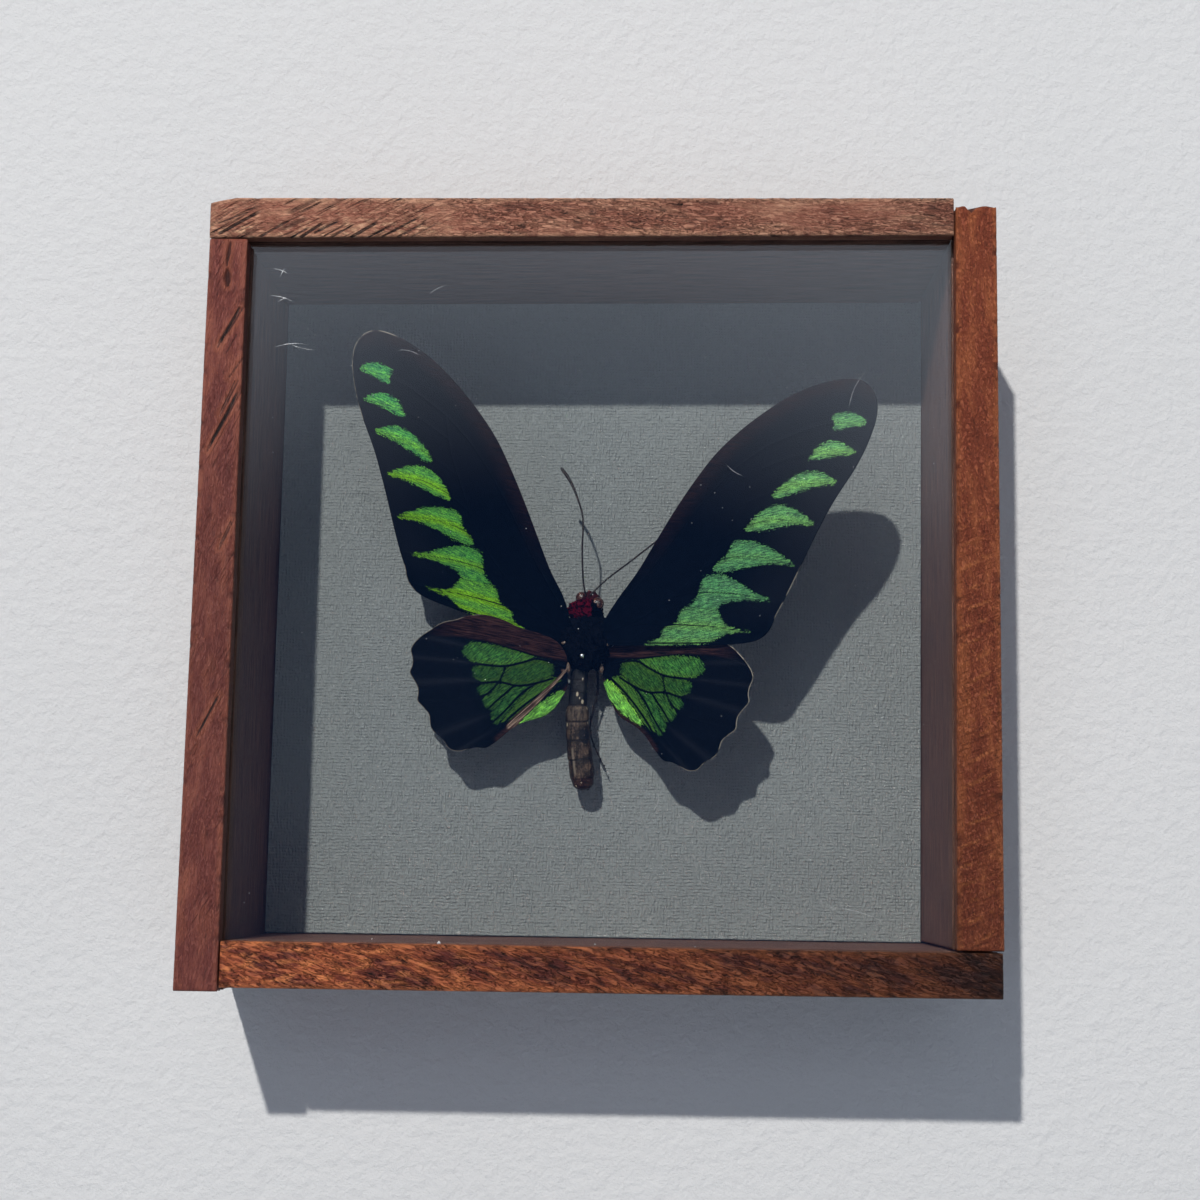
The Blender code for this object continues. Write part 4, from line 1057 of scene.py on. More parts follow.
# the left wing's higher lime shares: painted iridescent sheen
leftLime = [0.20, 0.25, 0.40, 0.75, 0.75, 0.60, 1.0]
rightMarks = forewingMarks(rightLime, [(6, 10)], 0.88)
leftMarks = forewingMarks(leftLime, [(14, 23), (4, 7)], 1.2)
for nodeName, veins, marks, scales, slot in (
        ("forewing_right", forewingVeins, rightMarks, "emerald_forewing_scales", "black_emerald_forewing"),
        ("forewing_left", forewingVeins, leftMarks, "lime_forewing_scales", "black_lime_forewing"),
        ("hindwing_right", hindwingVeins, hindwingMarks(False), "hindwing_scales", "black_green_hindwing"),
        ("hindwing_left", hindwingVeins, hindwingMarks(True), "hindwing_scales", "black_green_hindwing")):
    dress(wingPiece(nodeName, veins, marks), scaleFinishes[scales], slot, nodeName)
print("wings spread")


# Body

def lump(name, centre, half, shapeAt, rings=40, columns=64):
    # closed round form; shapeAt(direction) gives its radius share
    verts, attr = [], []
    for r in range(1, rings):
        polar = math.pi * r / rings
        for c in range(columns):
            turn = 2 * math.pi * c / columns
            ray = (math.sin(polar) * math.cos(turn), math.sin(polar) * math.sin(turn), math.cos(polar))
            verts.append([centre[k] + half[k] * ray[k] * shapeAt(ray) for k in range(3)])
            attr.append(ray)
    count = len(verts)
    for end in (1, -1):
        verts.append([centre[0], centre[1], centre[2] + end * half[2] * shapeAt((0, 0, end))])
        attr.append((0, 0, end))
    faces = gridFaces(rings - 1, columns)
    for c in range(columns):
        d = (c + 1) % columns
        faces.append((count, d, c))
        faces.append((count + 1, count - columns + c, count - columns + d))
    return meshPiece(name, verts, faces, {"ray": attr})


def tube(name, line, radiusAt, columns, attributes=()):
    # closed strand along a line; radiusAt(along, turn) gives the radius in mm
    line = np.asarray(line, float)
    tangents = np.gradient(line, axis=0)
    tangents /= np.linalg.norm(tangents, axis=1)[:, None]
    up = np.array([0.0, 0.0, 1.0])
    verts, alongs, turns = [], [], []
    for i, (point, tangent) in enumerate(zip(line, tangents)):
        side = np.cross(up, tangent)
        side /= np.linalg.norm(side)
        top = np.cross(tangent, side)
        share = i / (len(line) - 1)
        for c in range(columns):
            turn = 2 * math.pi * c / columns
            reach = radiusAt(share, turn)
            verts.append(point + side * math.sin(turn) * reach + top * math.cos(turn) * reach)
            alongs.append(share)
            turns.append(turn / math.pi if turn <= math.pi else turn / math.pi - 2)
    count = len(verts)
    faces = gridFaces(len(line), columns)
    for end, point, edge in ((0, line[0], 0), (1, line[-1], count - columns)):
        verts.append(point)
        alongs.append(float(end))
        turns.append(0.0)
        for c in range(columns):
            faces.append((edge + c, edge + (c + 1) % columns, count + end))
    return meshPiece(name, verts, faces, {"along": alongs, "turn": turns})


def boxMiddle(node):
    low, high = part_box(node)
    return [c / mm for c in (low + high) / 2], [c / mm for c in (high - low) / 2]


thoraxShape = {"core": 0.80, "furrow": 0.06, "shoulder": 0.08}


def thoraxAt(ray):
    # two rounded shield halves with a furrow between them and a knob behind
    x, y, z = ray
    shape = thoraxShape["core"]
    shape -= thoraxShape["furrow"] * math.exp(-(x / 0.12) ** 2) * max(0.0, z) * (1 if y > -0.35 else 0)
    shape += thoraxShape["shoulder"] * math.exp(-((abs(x) - 0.6) / 0.25) ** 2) * max(0.0, z)
    shape += 0.05 * math.exp(-((y + 0.62) / 0.16) ** 2 - (x / 0.4) ** 2) * max(0.0, z)
    return shape + 0.02 * noise.noise(Vector(ray) * 5.0)


def glossyChitin(name, dark, light, rough, shine=0.5):
    finish = Finish(name, IOR=1.5, Specular_IOR_Level=shine)
    ray = finish.attribute("ray", "Vector")
    mottle = finish.noise(ray, 3.0, 4.0, 0.65)
    pores = finish.cells(ray, 26.0)
    body = finish.mix(mottle.step(0.4, 0.75), dark, light)
    finish.set("Base Color", finish.mix(pores.step(0.0, 0.3, 0.5, 0.0), body, (0.004, 0.003, 0.003)))
    finish.set("Roughness", (rough + mottle * 0.25).clamped())
    finish.set("Normal", finish.bump(pores * 0.6 + mottle, 0.00008, 0.7))
    return finish


def hairFinish(name, root, tip, rough, gaps=0.4, darkRight=None):
    # hairs darker at the root; strand runs from root to tip; black from darkRight (x in mm) on; gaps: how strong
    # the painted shade between tufts is
    finish = Finish(name, IOR=1.5, Specular_IOR_Level=0.0)
    strand = finish.attribute("strand")
    shade = finish.noise(finish.place(), 900.0, 2.0)
    body = finish.mix(strand.step(0.1, 0.95), root, tip)
    body = finish.mix(shade.step(0.35, 0.7) * 0.5, body, tuple(1.7 * c for c in tip))
    tufts = finish.noise(finish.place(), 1300.0, 3.0, 0.6)
    if darkRight is not None:
        aside = finish.parts(finish.place())[0] * 1000.0 + (tufts - 0.5) * 2.0
        body = finish.mix(aside.step(darkRight - 0.2, darkRight + 0.3), body, (0.002, 0.002, 0.003))
    # painted shade: hairs between the tufts darkened toward black
    deep = tuple(0.12 * c for c in root)
    finish.set("Base Color", finish.mix(tufts.step(0.44, 0.60) * gaps, body, deep))
    finish.set("Roughness", (rough + shade * 0.2).clamped())
    return finish


def hairTree():
    # bristles on a surface: density, length, thickness, comb direction and seed are inputs
    tree = bpy.data.node_groups.new("hair_coat", "GeometryNodeTree")
    face = tree.interface
    face.new_socket("Geometry", in_out="INPUT", socket_type="NodeSocketGeometry")
    inputs = {}
    for label, kind, value in (
            ("Density", "Float", 1.0), ("Length", "Float", 1.0), ("Thickness", "Float", 0.03),
            ("Comb", "Vector", (0, -1, 0)), ("Comb Strength", "Float", 0.8),
            ("Spread", "Float", 0.5), ("Seed", "Int", 1), ("Coat", "Material", None)):
        socket = face.new_socket(label, in_out="INPUT", socket_type="NodeSocket" + kind)
        if value is not None:
            socket.default_value = value
        inputs[label] = socket.identifier
    face.new_socket("Geometry", in_out="OUTPUT", socket_type="NodeSocketGeometry")

    def node(kind, settings={}, values={}):
        made = tree.nodes.new(kind)
        for key, value in settings.items():
            setattr(made, key, value)
        for key, value in values.items():
            if isinstance(value, bpy.types.NodeSocket):
                tree.links.new(value, made.inputs[key])
            else:
                made.inputs[key].default_value = value
        return made

    group = node("NodeGroupInput")
    given = {label: next(s for s in group.outputs if s.identifier == name)
             for label, name in inputs.items()}
    spots = node("GeometryNodeDistributePointsOnFaces", {"distribute_method": "RANDOM"},
                 {"Mesh": group.outputs["Geometry"], "Density": given["Density"], "Seed": given["Seed"]})
    strand = node("GeometryNodeCurveQuadraticBezier", {},
                  {"Resolution": 4, "Start": (0, 0, 0), "Middle": (0, 0, 0.55), "End": (0.28, 0, 1.0)})
    share = node("GeometryNodeSplineParameter")
    thin = node("ShaderNodeMath", {"operation": "SUBTRACT"}, {0: 1.05, 1: share.outputs["Factor"]})
    radius = node("ShaderNodeMath", {"operation": "MULTIPLY"}, {0: thin.outputs[0], 1: given["Thickness"]})
    sized = node("GeometryNodeSetCurveRadius", {}, {"Curve": strand.outputs[0], "Radius": radius.outputs[0]})
    marked = node("GeometryNodeStoreNamedAttribute", {"data_type": "FLOAT", "domain": "POINT"},
                  {"Geometry": sized.outputs[0], "Name": "strand", "Value": share.outputs["Factor"]})
    profile = node("GeometryNodeCurvePrimitiveCircle", {"mode": "RADIUS"}, {"Resolution": 3, "Radius": 1.0})
    bristle = node("GeometryNodeCurveToMesh", {},
                   {"Curve": marked.outputs[0], "Profile Curve": profile.outputs[0], "Fill Caps": True})
    combed = node("ShaderNodeVectorMath", {"operation": "SCALE"},
                  {0: given["Comb"], "Scale": given["Comb Strength"]})
    scatter = node("FunctionNodeRandomValue", {"data_type": "FLOAT_VECTOR"},
                   {"Min": (-1, -1, -1), "Max": (1, 1, 1), "Seed": given["Seed"]})
    loose = node("ShaderNodeVectorMath", {"operation": "SCALE"},
                 {0: scatter.outputs["Value"], "Scale": given["Spread"]})
    lean = node("ShaderNodeVectorMath", {"operation": "ADD"},
                {0: spots.outputs["Normal"], 1: combed.outputs["Vector"]})
    lean = node("ShaderNodeVectorMath", {"operation": "ADD"},
                {0: lean.outputs["Vector"], 1: loose.outputs["Vector"]})
    turned = node("FunctionNodeAlignRotationToVector", {"axis": "Z"}, {"Vector": lean.outputs["Vector"]})
    long = node("FunctionNodeRandomValue", {"data_type": "FLOAT"}, {"Seed": given["Seed"]})
    long.inputs[2].default_value = 0.55
    long.inputs[3].default_value = 1.1
    length = node("ShaderNodeMath", {"operation": "MULTIPLY"}, {0: long.outputs[1], 1: given["Length"]})
    planted = node("GeometryNodeInstanceOnPoints", {},
                   {"Points": spots.outputs["Points"], "Instance": bristle.outputs[0],
                    "Rotation": turned.outputs[0], "Scale": length.outputs[0]})
    real = node("GeometryNodeRealizeInstances", {}, {"Geometry": planted.outputs[0]})
    coated = node("GeometryNodeSetMaterial", {}, {"Geometry": real.outputs[0], "Material": given["Coat"]})
    node("NodeGroupOutput", {}, {"Geometry": coated.outputs[0]})
    return tree, inputs


coatTree, coatInputs = hairTree()


def hairCoat(name, body, finish, slot, **values):
    # grows hair on a copy of the body and keeps only the hair
    coat = bpy.data.objects.new(name, body.data.copy())
    bpy.context.scene.collection.objects.link(coat)
    grow = coat.modifiers.new("hair", "NODES")
    grow.node_group = coatTree
    for label, value in values.items():
        grow[coatInputs[label.replace("_", " ")]] = value
    grow[coatInputs["Coat"]] = finish.material
    bakeModifiers(coat)
    dress(coat, finish, slot)
    print(name, len(coat.data.polygons), "faces")


thoraxMiddle, thoraxHalf = boxMiddle("thorax")
thorax = lump("thorax_shield", thoraxMiddle, thoraxHalf, thoraxAt)
blackChitin = glossyChitin("black_chitin", (0.002, 0.002, 0.003), (0.008, 0.006, 0.006), 0.12, 0.35)
brownChitin = glossyChitin("brown_chitin", (0.060, 0.034, 0.024), (0.34, 0.21, 0.14), 0.2)
plateChitin = glossyChitin("plate_chitin", (0.012, 0.009, 0.009), (0.10, 0.072, 0.060), 0.15, 0.6)
dress(thorax, blackChitin, "black_thorax_hair", "thorax")
blackHair = hairFinish("black_hair", (0.001, 0.001, 0.002), (0.0035, 0.0038, 0.006), 0.55)
hairCoat("thorax_fur", thorax, blackHair, "black_thorax_hair", Density=30.0e6, Length=0.0009,
         Thickness=0.034, Comb=(0.0, -1.0, 0.2), Comb_Strength=0.5, Spread=0.9, Seed=4)
hairCoat("thorax_bristles", thorax, blackHair, "black_thorax_hair", Density=5.0e6, Length=0.0023,
         Thickness=0.02, Comb=(0.0, -0.7, 0.1), Comb_Strength=0.5, Spread=1.1, Seed=5)

# horny plates: the glossy drop on the back, and the brown knobs where the wings start
plates = {
    "back_plate": {"at": (-3.1, -8.5, 21.3), "half": (0.60, 1.5, 0.55), "point": 0.55},
    "wing_root_left": {"at": (-7.0, -8.2, 20.5), "half": (0.9, 0.42, 0.36), "point": 0.2},
    "wing_root_right": {"at": (2.4, -8.4, 20.6), "half": (0.9, 0.42, 0.40), "point": 0.2},
    "rear_root_left": {"at": (-6.3, -13.6, 19.2), "half": (0.55, 1.15, 0.40), "point": 0.3},
    "rear_root_right": {"at": (1.3, -13.6, 17.9), "half": (0.50, 1.1, 0.40), "point": 0.3},
}


def plateAt(ray, narrow):
    # narrower toward its front end
    return 1.0 - narrow * max(0.0, ray[1]) * abs(ray[0]) + 0.05 * noise.noise(Vector(ray) * 3)


for plateName, plate in plates.items():
    piece = lump(plateName, plate["at"], plate["half"], lambda ray: plateAt(ray, plate["point"]), 20, 32)
    dress(piece, plateChitin if plateName == "back_plate" else brownChitin, "black_thorax_hair")

collarMiddle, collarHalf = boxMiddle("collar")
collar = lump("collar_ring", collarMiddle, collarHalf,
              lambda ray: 0.8 + 0.05 * noise.noise(Vector(ray) * 5), 24, 40)
crimson = glossyChitin("crimson_skin", (0.004, 0.001, 0.002), (0.012, 0.002, 0.003), 0.6, 0.1)
dress(collar, crimson, "crimson_collar_hair", "collar")
crimsonHair = hairFinish("crimson_hair", (0.003, 0.0005, 0.0012), (0.085, 0.0022, 0.0090), 0.5, 0.97, -1.2)
hairCoat("collar_hair", collar, crimsonHair, "crimson_collar_hair", Density=26.0e6, Length=0.0016,
         Thickness=0.028, Comb=(-0.6, -0.7, 0.2), Comb_Strength=0.8, Spread=1.1, Seed=9)

headShape = {"at": (-1.65, 2.0, 18.2), "half": (2.0, 1.35, 1.7), "turn": -15.0,
             "eyeOffset": {-1: (1.9, 0.0, 0.35), 1: (1.95, -0.55, 1.0)}, "eyeSize": {-1: 1.3, 1: 1.6},
             "palpHalf": (0.4, 1.0, 0.5), "palpOffset": (0.5, 1.1, -0.2)}


def eyeFinish():
    # smooth brown eye with fine facets and a paler band
    finish = Finish("facetted_eye", IOR=1.55, Coat_Weight=0.35, Coat_Roughness=0.15)
    ray = finish.attribute("ray", "Vector")
    facets = finish.cells(ray, 34.0)
    bands = finish.noise(finish.stretch(ray, (1.0, 1.0, 3.2)), 1.6, 2.0)
    body = finish.mix(bands.step(0.38, 0.66), (0.030, 0.010, 0.008), (0.16, 0.055, 0.032))
    finish.set("Base Color", finish.mix(facets.step(0.2, 0.6, 0.0, 0.5), body, (0.02, 0.008, 0.006)))
    finish.set("Roughness", (0.2 + bands * 0.15).clamped())
    finish.set("Normal", finish.bump(1.0 - facets, 0.00003, 0.6))
    return finish


eyeBrown = eyeFinish()
palpPink = glossyChitin("pink_palp", (0.16, 0.06, 0.05), (0.34, 0.15, 0.12), 0.45)
headBrown = glossyChitin("brown_head_skin", (0.045, 0.014, 0.009), (0.19, 0.060, 0.028), 0.35)
headAt = np.array(headShape["at"])
headTurn = np.array(Matrix.Rotation(math.radians(headShape["turn"]), 3, "Z"))
head = lump("head_skin", headAt, headShape["half"],
            lambda ray: 0.95 + 0.04 * noise.noise(Vector(ray) * 4), 28, 40)
dress(head, headBrown, "brown_head", "head")
for side, label in ((-1, "left"), (1, "right")):
    mirror = np.array([side, 1, 1])
    eyeAt = headAt + headTurn @ (mirror * headShape["eyeOffset"][side])
    palpAt = headAt + headTurn @ (mirror * headShape["palpOffset"])
    eye = lump("eye_" + label, eyeAt, [headShape["eyeSize"][side]] * 3,
               lambda ray: 1.0 - 0.05 * max(0.0, -side * ray[0]) ** 2, 36, 56)
    dress(eye, eyeBrown, "brown_head")
    palp = lump("palp_" + label, palpAt, headShape["palpHalf"],
                lambda ray: 1.0 + 0.12 * ray[1] - 0.08 * ray[2] ** 2, 16, 24)
    dress(palp, palpPink, "brown_head")
darkHair = hairFinish("dark_brown_hair", (0.006, 0.003, 0.003), (0.055, 0.012, 0.012), 0.5)
hairCoat("head_hair", head, darkHair, "brown_head", Density=12.0e6, Length=0.0006, Thickness=0.03,
         Comb=(0.0, -0.9, 0.3), Comb_Strength=0.8, Spread=0.7, Seed=14)
print("thorax, collar and head made")


# Abdomen

abdomenShape = {"line": [(-3.5, -13.4, 15.9), (-4.1, -26.0, 14.7), (-2.4, -41.0, 12.4)], "radius": 2.85,
                "seams": [0.0, 0.10, 0.20, 0.305, 0.435, 0.585, 0.74, 0.90, 1.0],
                "girth": [(0.0, 0.62), (0.10, 0.76), (0.30, 0.82), (0.33, 1.0), (0.60, 1.06), (0.80, 1.10),
                          (0.90, 1.06), (0.96, 0.90), (0.985, 0.66), (1.0, 0.34)],
                "lip": 0.13, "squareness": 2.9, "wrinkle": 0.05}
# cream flecks on the back: share of the length, turn from the top (right is positive), radius in mm
abdomenFlecks = [(0.215, -0.03, 0.42), (0.275, 0.16, 0.42), (0.09, 0.12, 0.26), (0.14, 0.40, 0.26),
                 (0.185, 0.36, 0.22), (0.245, 0.06, 0.2), (0.33, 0.30, 0.3), (0.35, -0.36, 0.2),
                 (0.46, -0.30, 0.34), (0.45, 0.33, 0.3), (0.91, 0.38, 0.24), (0.955, -0.22, 0.2),
                 (0.93, -0.05, 0.16)]


def abdomenRadius(along, turn):
    # squarish plates, each overlapping the next with a small step, a keel down both sides
    shape = abdomenShape
    girth = float(np.interp(along, *zip(*shape["girth"])))
    seam = max(s for s in shape["seams"] if s <= along)
    nextSeam = min([s for s in shape["seams"] if s > along] or [1.0])
    phase = (along - seam) / max(nextSeam - seam, 1e-6)
    lip = shape["lip"] * (float(ramp(phase, 0.0, 0.7)) - 1.0)
    lip -= 1.6 * shape["lip"] * float(ramp(phase, 0.955, 1.0)) if nextSeam < 1 else 0.0
    power = shape["squareness"]
    square = (abs(math.cos(turn)) ** power + abs(math.sin(turn)) ** power) ** (-1 / power)
    wrinkle = hash2(along * 26, math.cos(turn) * 1.6, 3.0 + math.sin(turn) * 2.0)
    wrinkle += 0.6 * hash2(along * 70, turn * 2.2, 8.0)
    return shape["radius"] * girth * 0.93 * square ** 0.8 + lip + shape["wrinkle"] * wrinkle


def abdomenFinish():
    # black base, grey-brown plates with dark seams, black blotch on the right, red-brown end,
    # cream flecks, and pale painted glints on the upper side
    finish = Finish("abdomen_skin", IOR=1.5, Specular_IOR_Level=0.15)
    along, turn, seam = finish.attribute("along"), finish.attribute("turn"), finish.attribute("seam")
    cream = finish.attribute("cream")
    place = finish.place()
    mottle = finish.noise(place, 1500.0, 5.0, 0.75)
    coarse = finish.noise(place, 420.0, 4.0, 0.7)
    streaks = finish.noise(finish.stretch(place, (1500.0, 260.0, 900.0)), 1.0, 4.0, 0.65)
    body = finish.mix((streaks.step(0.36, 0.66) * 0.8 + mottle.step(0.5, 0.7) * 0.3).clamped(),
                      (0.007, 0.004, 0.003), (0.150, 0.092, 0.060))
    body = finish.mix(coarse.step(0.42, 0.56) * 0.88, body, (0.008, 0.005, 0.004))
    paleBand = along.step(0.30, 0.32) * along.step(0.45, 0.47, 1.0, 0.0)
    body = finish.mix((paleBand * streaks.step(0.3, 0.6) * 0.5).clamped(), body, (0.15, 0.105, 0.075))
    line = (turn + 0.17).size().step(0.0, 0.05, 1.0, 0.0)
    line = line * along.step(0.62, 0.68) * along.step(0.84, 0.88, 1.0, 0.0)
    body = finish.mix((line * 0.6).clamped(), body, (0.30, 0.23, 0.17))
    base = (along + (coarse - 0.5) * 0.10).step(0.285, 0.315, 1.0, 0.0)
    body = finish.mix((base * 0.97).clamped(), body, (0.003, 0.003, 0.004))
    blotch = 1.0 - ((along - 0.555) / 0.062) ** 2.0 - ((turn - 0.17) / 0.15) ** 2.0 + (coarse - 0.5) * 1.2
    body = finish.mix(blotch.step(-0.1, 0.12) * 0.97, body, (0.005, 0.005, 0.008))
    gap = seam + (mottle - 0.5) * 0.5
    body = finish.mix(gap.step(0.10, 0.34, 0.92, 0.0), body, (0.006, 0.004, 0.004))
    sides = (turn.size() + (coarse - 0.5) * 0.25).step(0.24, 0.42)
    body = finish.mix((sides * 0.8).clamped(), body, (0.010, 0.006, 0.005))
    end = along.step(0.86, 0.93)
    endTone = finish.mix(mottle.step(0.4, 0.65), (0.006, 0.003, 0.003), (0.060, 0.020, 0.012))
    body = finish.mix(end * 0.8, body, endTone)
    # painted glints: pale flecks on the upper side only
    bright = mottle.step(0.60, 0.70) * (1.0 - base) * (1.0 - sides) * 0.5
    body = finish.mix(bright, body, (0.30, 0.215, 0.155))
    body = finish.mix((cream + (mottle - 0.5) * 0.8).step(0.45, 0.6), body, (0.46, 0.37, 0.26))
    finish.set("Base Color", body)
    finish.set("Roughness", (0.34 + mottle * 0.35 - end * 0.15).clamped())
    finish.set("Normal", finish.bump(streaks * 0.6 + mottle * 0.7 + coarse * 0.8, 0.00030, 1.0))
    return finish


abdomenLine = evenly(smoothLine(abdomenShape["line"], 40), 0.1)
abdomen = tube("abdomen_rings", abdomenLine, abdomenRadius, 96)
abdomenLength = float(np.linalg.norm(np.diff(abdomenLine, axis=0), axis=1).sum())
marks = {key: np.zeros(len(abdomen.data.vertices), np.float32) for key in ("along", "turn")}
for key in marks:
    abdomen.data.attributes[key].data.foreach_get("value", marks[key])
seams = np.array(abdomenShape["seams"][1:-1])
seamGap = np.abs(marks["along"][:, None] - seams).min(1) * abdomenLength
cream = np.zeros(len(seamGap))
for along, turn, radius in abdomenFlecks:
    gap = np.hypot((marks["along"] - along) * abdomenLength * 0.75,
                   (marks["turn"] - turn) * math.pi * 1.15 * abdomenShape["radius"])
    cream = np.maximum(cream, 1 - ramp(gap, 0.4 * radius, 1.5 * radius))
for key, values in (("seam", seamGap), ("cream", cream)):
    layer = abdomen.data.attributes.new(key, "FLOAT", "POINT")
    layer.data.foreach_set("value", values.astype(np.float32))
dress(abdomen, abdomenFinish(), "brown_abdomen", "abdomen")

# the two valves that close the end: their middle is measured from the abdomen's last point
valveShape = {"aside": 0.75, "forward": 1.3, "rise": 0.2, "half": (0.85, 1.5, 1.25)}


def valveAt(ray):
    return 1.0 - 0.25 * max(0.0, -ray[1]) * abs(ray[2]) + 0.05 * noise.noise(Vector(ray) * 4)


valveBrown = glossyChitin("valve_brown", (0.006, 0.003, 0.003), (0.045, 0.018, 0.012), 0.24)
for side, label in ((-1, "left"), (1, "right")):
    tip = abdomenLine[-1]
    middle = (tip[0] + side * valveShape["aside"], tip[1] + valveShape["forward"], tip[2] + valveShape["rise"])
    valve = lump("valve_" + label, middle, valveShape["half"], valveAt, 22, 32)
    dress(valve, valveBrown, "brown_abdomen")
print("abdomen made")


# Antennae, legs and pin

antennaShape = {
    "radius": 0.2, "club": 0.38, "clubStart": 0.66, "rings": 46, "ringSwell": 0.035,
    "routes": {
        "antenna_left": [(-2.5, 2.6, 20.3), (-3.1, 6.2, 20.9), (-3.4, 13.0, 22.4), (-3.3, 19.7, 23.0),
                         (-4.5, 24.3, 23.2), (-6.3, 28.5, 23.0), (-8.5, 31.7, 22.8)],
        "antenna_right": [(-1.5, 2.8, 20.3), (2.1, 6.3, 20.6), (7.6, 10.5, 21.6), (13.8, 15.4, 22.3),
                          (18.4, 19.2, 22.5), (22.2, 23.0, 22.6)],
    }}
legShape = {
    "joints": (0.0, 0.34, 0.68, 1.0), "thick": (0.27, 0.24, 0.20, 0.10),
    "routes": {
        "leg_front_left": [(-5.0, -3.6, 14.1), (-8.6, -2.6, 12.7), (-11.6, -0.4, 8.7), (-13.4, 1.8, 5.3)],
        "leg_front_right": [(0.6, -3.6, 14.1), (4.4, -2.8, 12.7), (7.6, -0.4, 8.7), (9.6, 1.8, 5.3)],
        "leg_middle_left": [(-6.1, -8.0, 14.1), (-10.6, -9.6, 12.9), (-13.6, -13.6, 8.1), (-15.4, -17.0, 5.3)],
        "leg_middle_right": [(1.5, -8.0, 14.1), (5.8, -9.8, 12.5), (8.8, -14.0, 8.1), (10.6, -17.4, 5.3)],
        "leg_hind_left": [(-4.6, -10.4, 13.1), (-5.8, -16.4, 11.1), (-4.8, -25.0, 8.9), (-4.4, -32.0, 6.5)],
        "leg_hind_right": [(-0.2, -10.6, 13.3), (0.4, -18.0, 11.1), (-1.2, -27.6, 10.1), (2.6, -36.6, 9.4)],
    }}


def hornFinish(name, dark, light):
    finish = Finish(name, IOR=1.5, Specular_IOR_Level=0.25)
    along = finish.attribute("along")
    shade = finish.noise(finish.place(), 1500.0, 3.0)
    finish.set("Base Color", finish.mix((shade.step(0.35, 0.7) * (0.4 + 0.6 * along)).clamped(), dark, light))
    finish.set("Roughness", (0.28 + shade * 0.25).clamped())
    finish.set("Normal", finish.bump(shade, 0.00004, 0.6))
    return finish


def antennaRadius(along, turn):
    club = ramp(along, antennaShape["clubStart"], 0.95) * (antennaShape["club"] - antennaShape["radius"])
    swell = 1 + antennaShape["ringSwell"] * math.sin(2 * math.pi * antennaShape["rings"] * along)
    end = math.sqrt(max(0.05, 1 - float(ramp(along, 0.955, 1.02)) ** 2))
    return float((antennaShape["radius"] + club) * swell * end)


def legRadius(along, turn):
    thick = float(np.interp(along, legShape["joints"], legShape["thick"]))
    for joint in legShape["joints"][1:-1]:
        thick *= 1 - 0.3 * math.exp(-((along - joint) / 0.012) ** 2)
        thick *= 1 + 0.25 * math.exp(-((along - joint + 0.03) / 0.02) ** 2)
    return thick * (1 - 0.6 * float(ramp(along, 0.97, 1.0)))


antennaBlack = hornFinish("antenna_horn", (0.006, 0.004, 0.004), (0.032, 0.014, 0.012))
legBrown = hornFinish("leg_horn", (0.008, 0.006, 0.006), (0.030, 0.018, 0.014))
for nodeName, route in antennaShape["routes"].items():
    line = evenly(smoothLine(route, 12), 0.07)
    dress(tube(nodeName + "_rings", line, antennaRadius, 14), antennaBlack, "black_antenna", nodeName)
for nodeName, route in legShape["routes"].items():
    line = evenly(smoothLine(route, 12), 0.12)
    leg = tube(nodeName + "_joints", line, legRadius, 14)
    dress(leg, legBrown, "dark_leg", nodeName)
    hairCoat(nodeName + "_spines", leg, legBrown, "dark_leg", Density=1.4e6, Length=0.00024, Thickness=0.04,
             Comb=(0.0, -0.3, -0.6), Comb_Strength=0.6, Spread=0.6, Seed=31)
print("antennae and legs made")


def pinFinish():
    finish = Finish("polished_steel", Metallic=1.0)
    brushed = finish.noise(finish.stretch(finish.place(), (3000.0, 3000.0, 400.0)), 1.0, 3.0)
    finish.set("Base Color", finish.mix(brushed.step(0.3, 0.7), (0.56, 0.56, 0.58), (0.74, 0.74, 0.76)))
    finish.set("Roughness", (0.16 + brushed * 0.16).clamped())
    return finish


# headTurns: where the head's arc starts and ends, in degrees from its widest ring
pinShape = {"radius": 0.25, "head": 0.65, "headFlat": 0.88, "headTurns": (-66, 88), "headSteps": 14,
            "taper": 2.4, "sides": 28}
pinSides = pinShape["sides"]
pinLow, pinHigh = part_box("insect_pin")
pinX, pinY = (pinLow.x + pinHigh.x) / 2 / mm, (pinLow.y + pinHigh.y) / 2 / mm
pinProfile = [(0.02, pinLow.z / mm), (pinShape["radius"], pinLow.z / mm + pinShape["taper"])]
knobHigh = pinHigh.z / mm
knobMiddle = knobHigh - pinShape["head"] * pinShape["headFlat"]
for k in range(pinShape["headSteps"] + 1):
    first, last = pinShape["headTurns"]
    turn = math.radians(first + (last - first) * k / pinShape["headSteps"])
    pinProfile.append((pinShape["head"] * math.cos(turn),
                       knobMiddle + pinShape["head"] * pinShape["headFlat"] * math.sin(turn)))
pinTurns = [2 * math.pi * c / pinSides for c in range(pinSides)]
pinVerts = [(pinX + r * math.cos(turn), pinY + r * math.sin(turn), z) for r, z in pinProfile for turn in pinTurns]
pinCount = len(pinVerts)
pinVerts += [(pinX, pinY, pinLow.z / mm), (pinX, pinY, knobHigh)]
pinFaces = gridFaces(len(pinProfile), pinSides)
for c in range(pinSides):
    d = (c + 1) % pinSides
    pinFaces += [(pinCount, d, c), (pinCount + 1, pinCount - pinSides + c, pinCount - pinSides + d)]
dress(meshPiece("pin_turned", pinVerts, pinFaces), pinFinish(), "pin_steel", "insect_pin")
print("pin made")


# Floor, lamps and camera

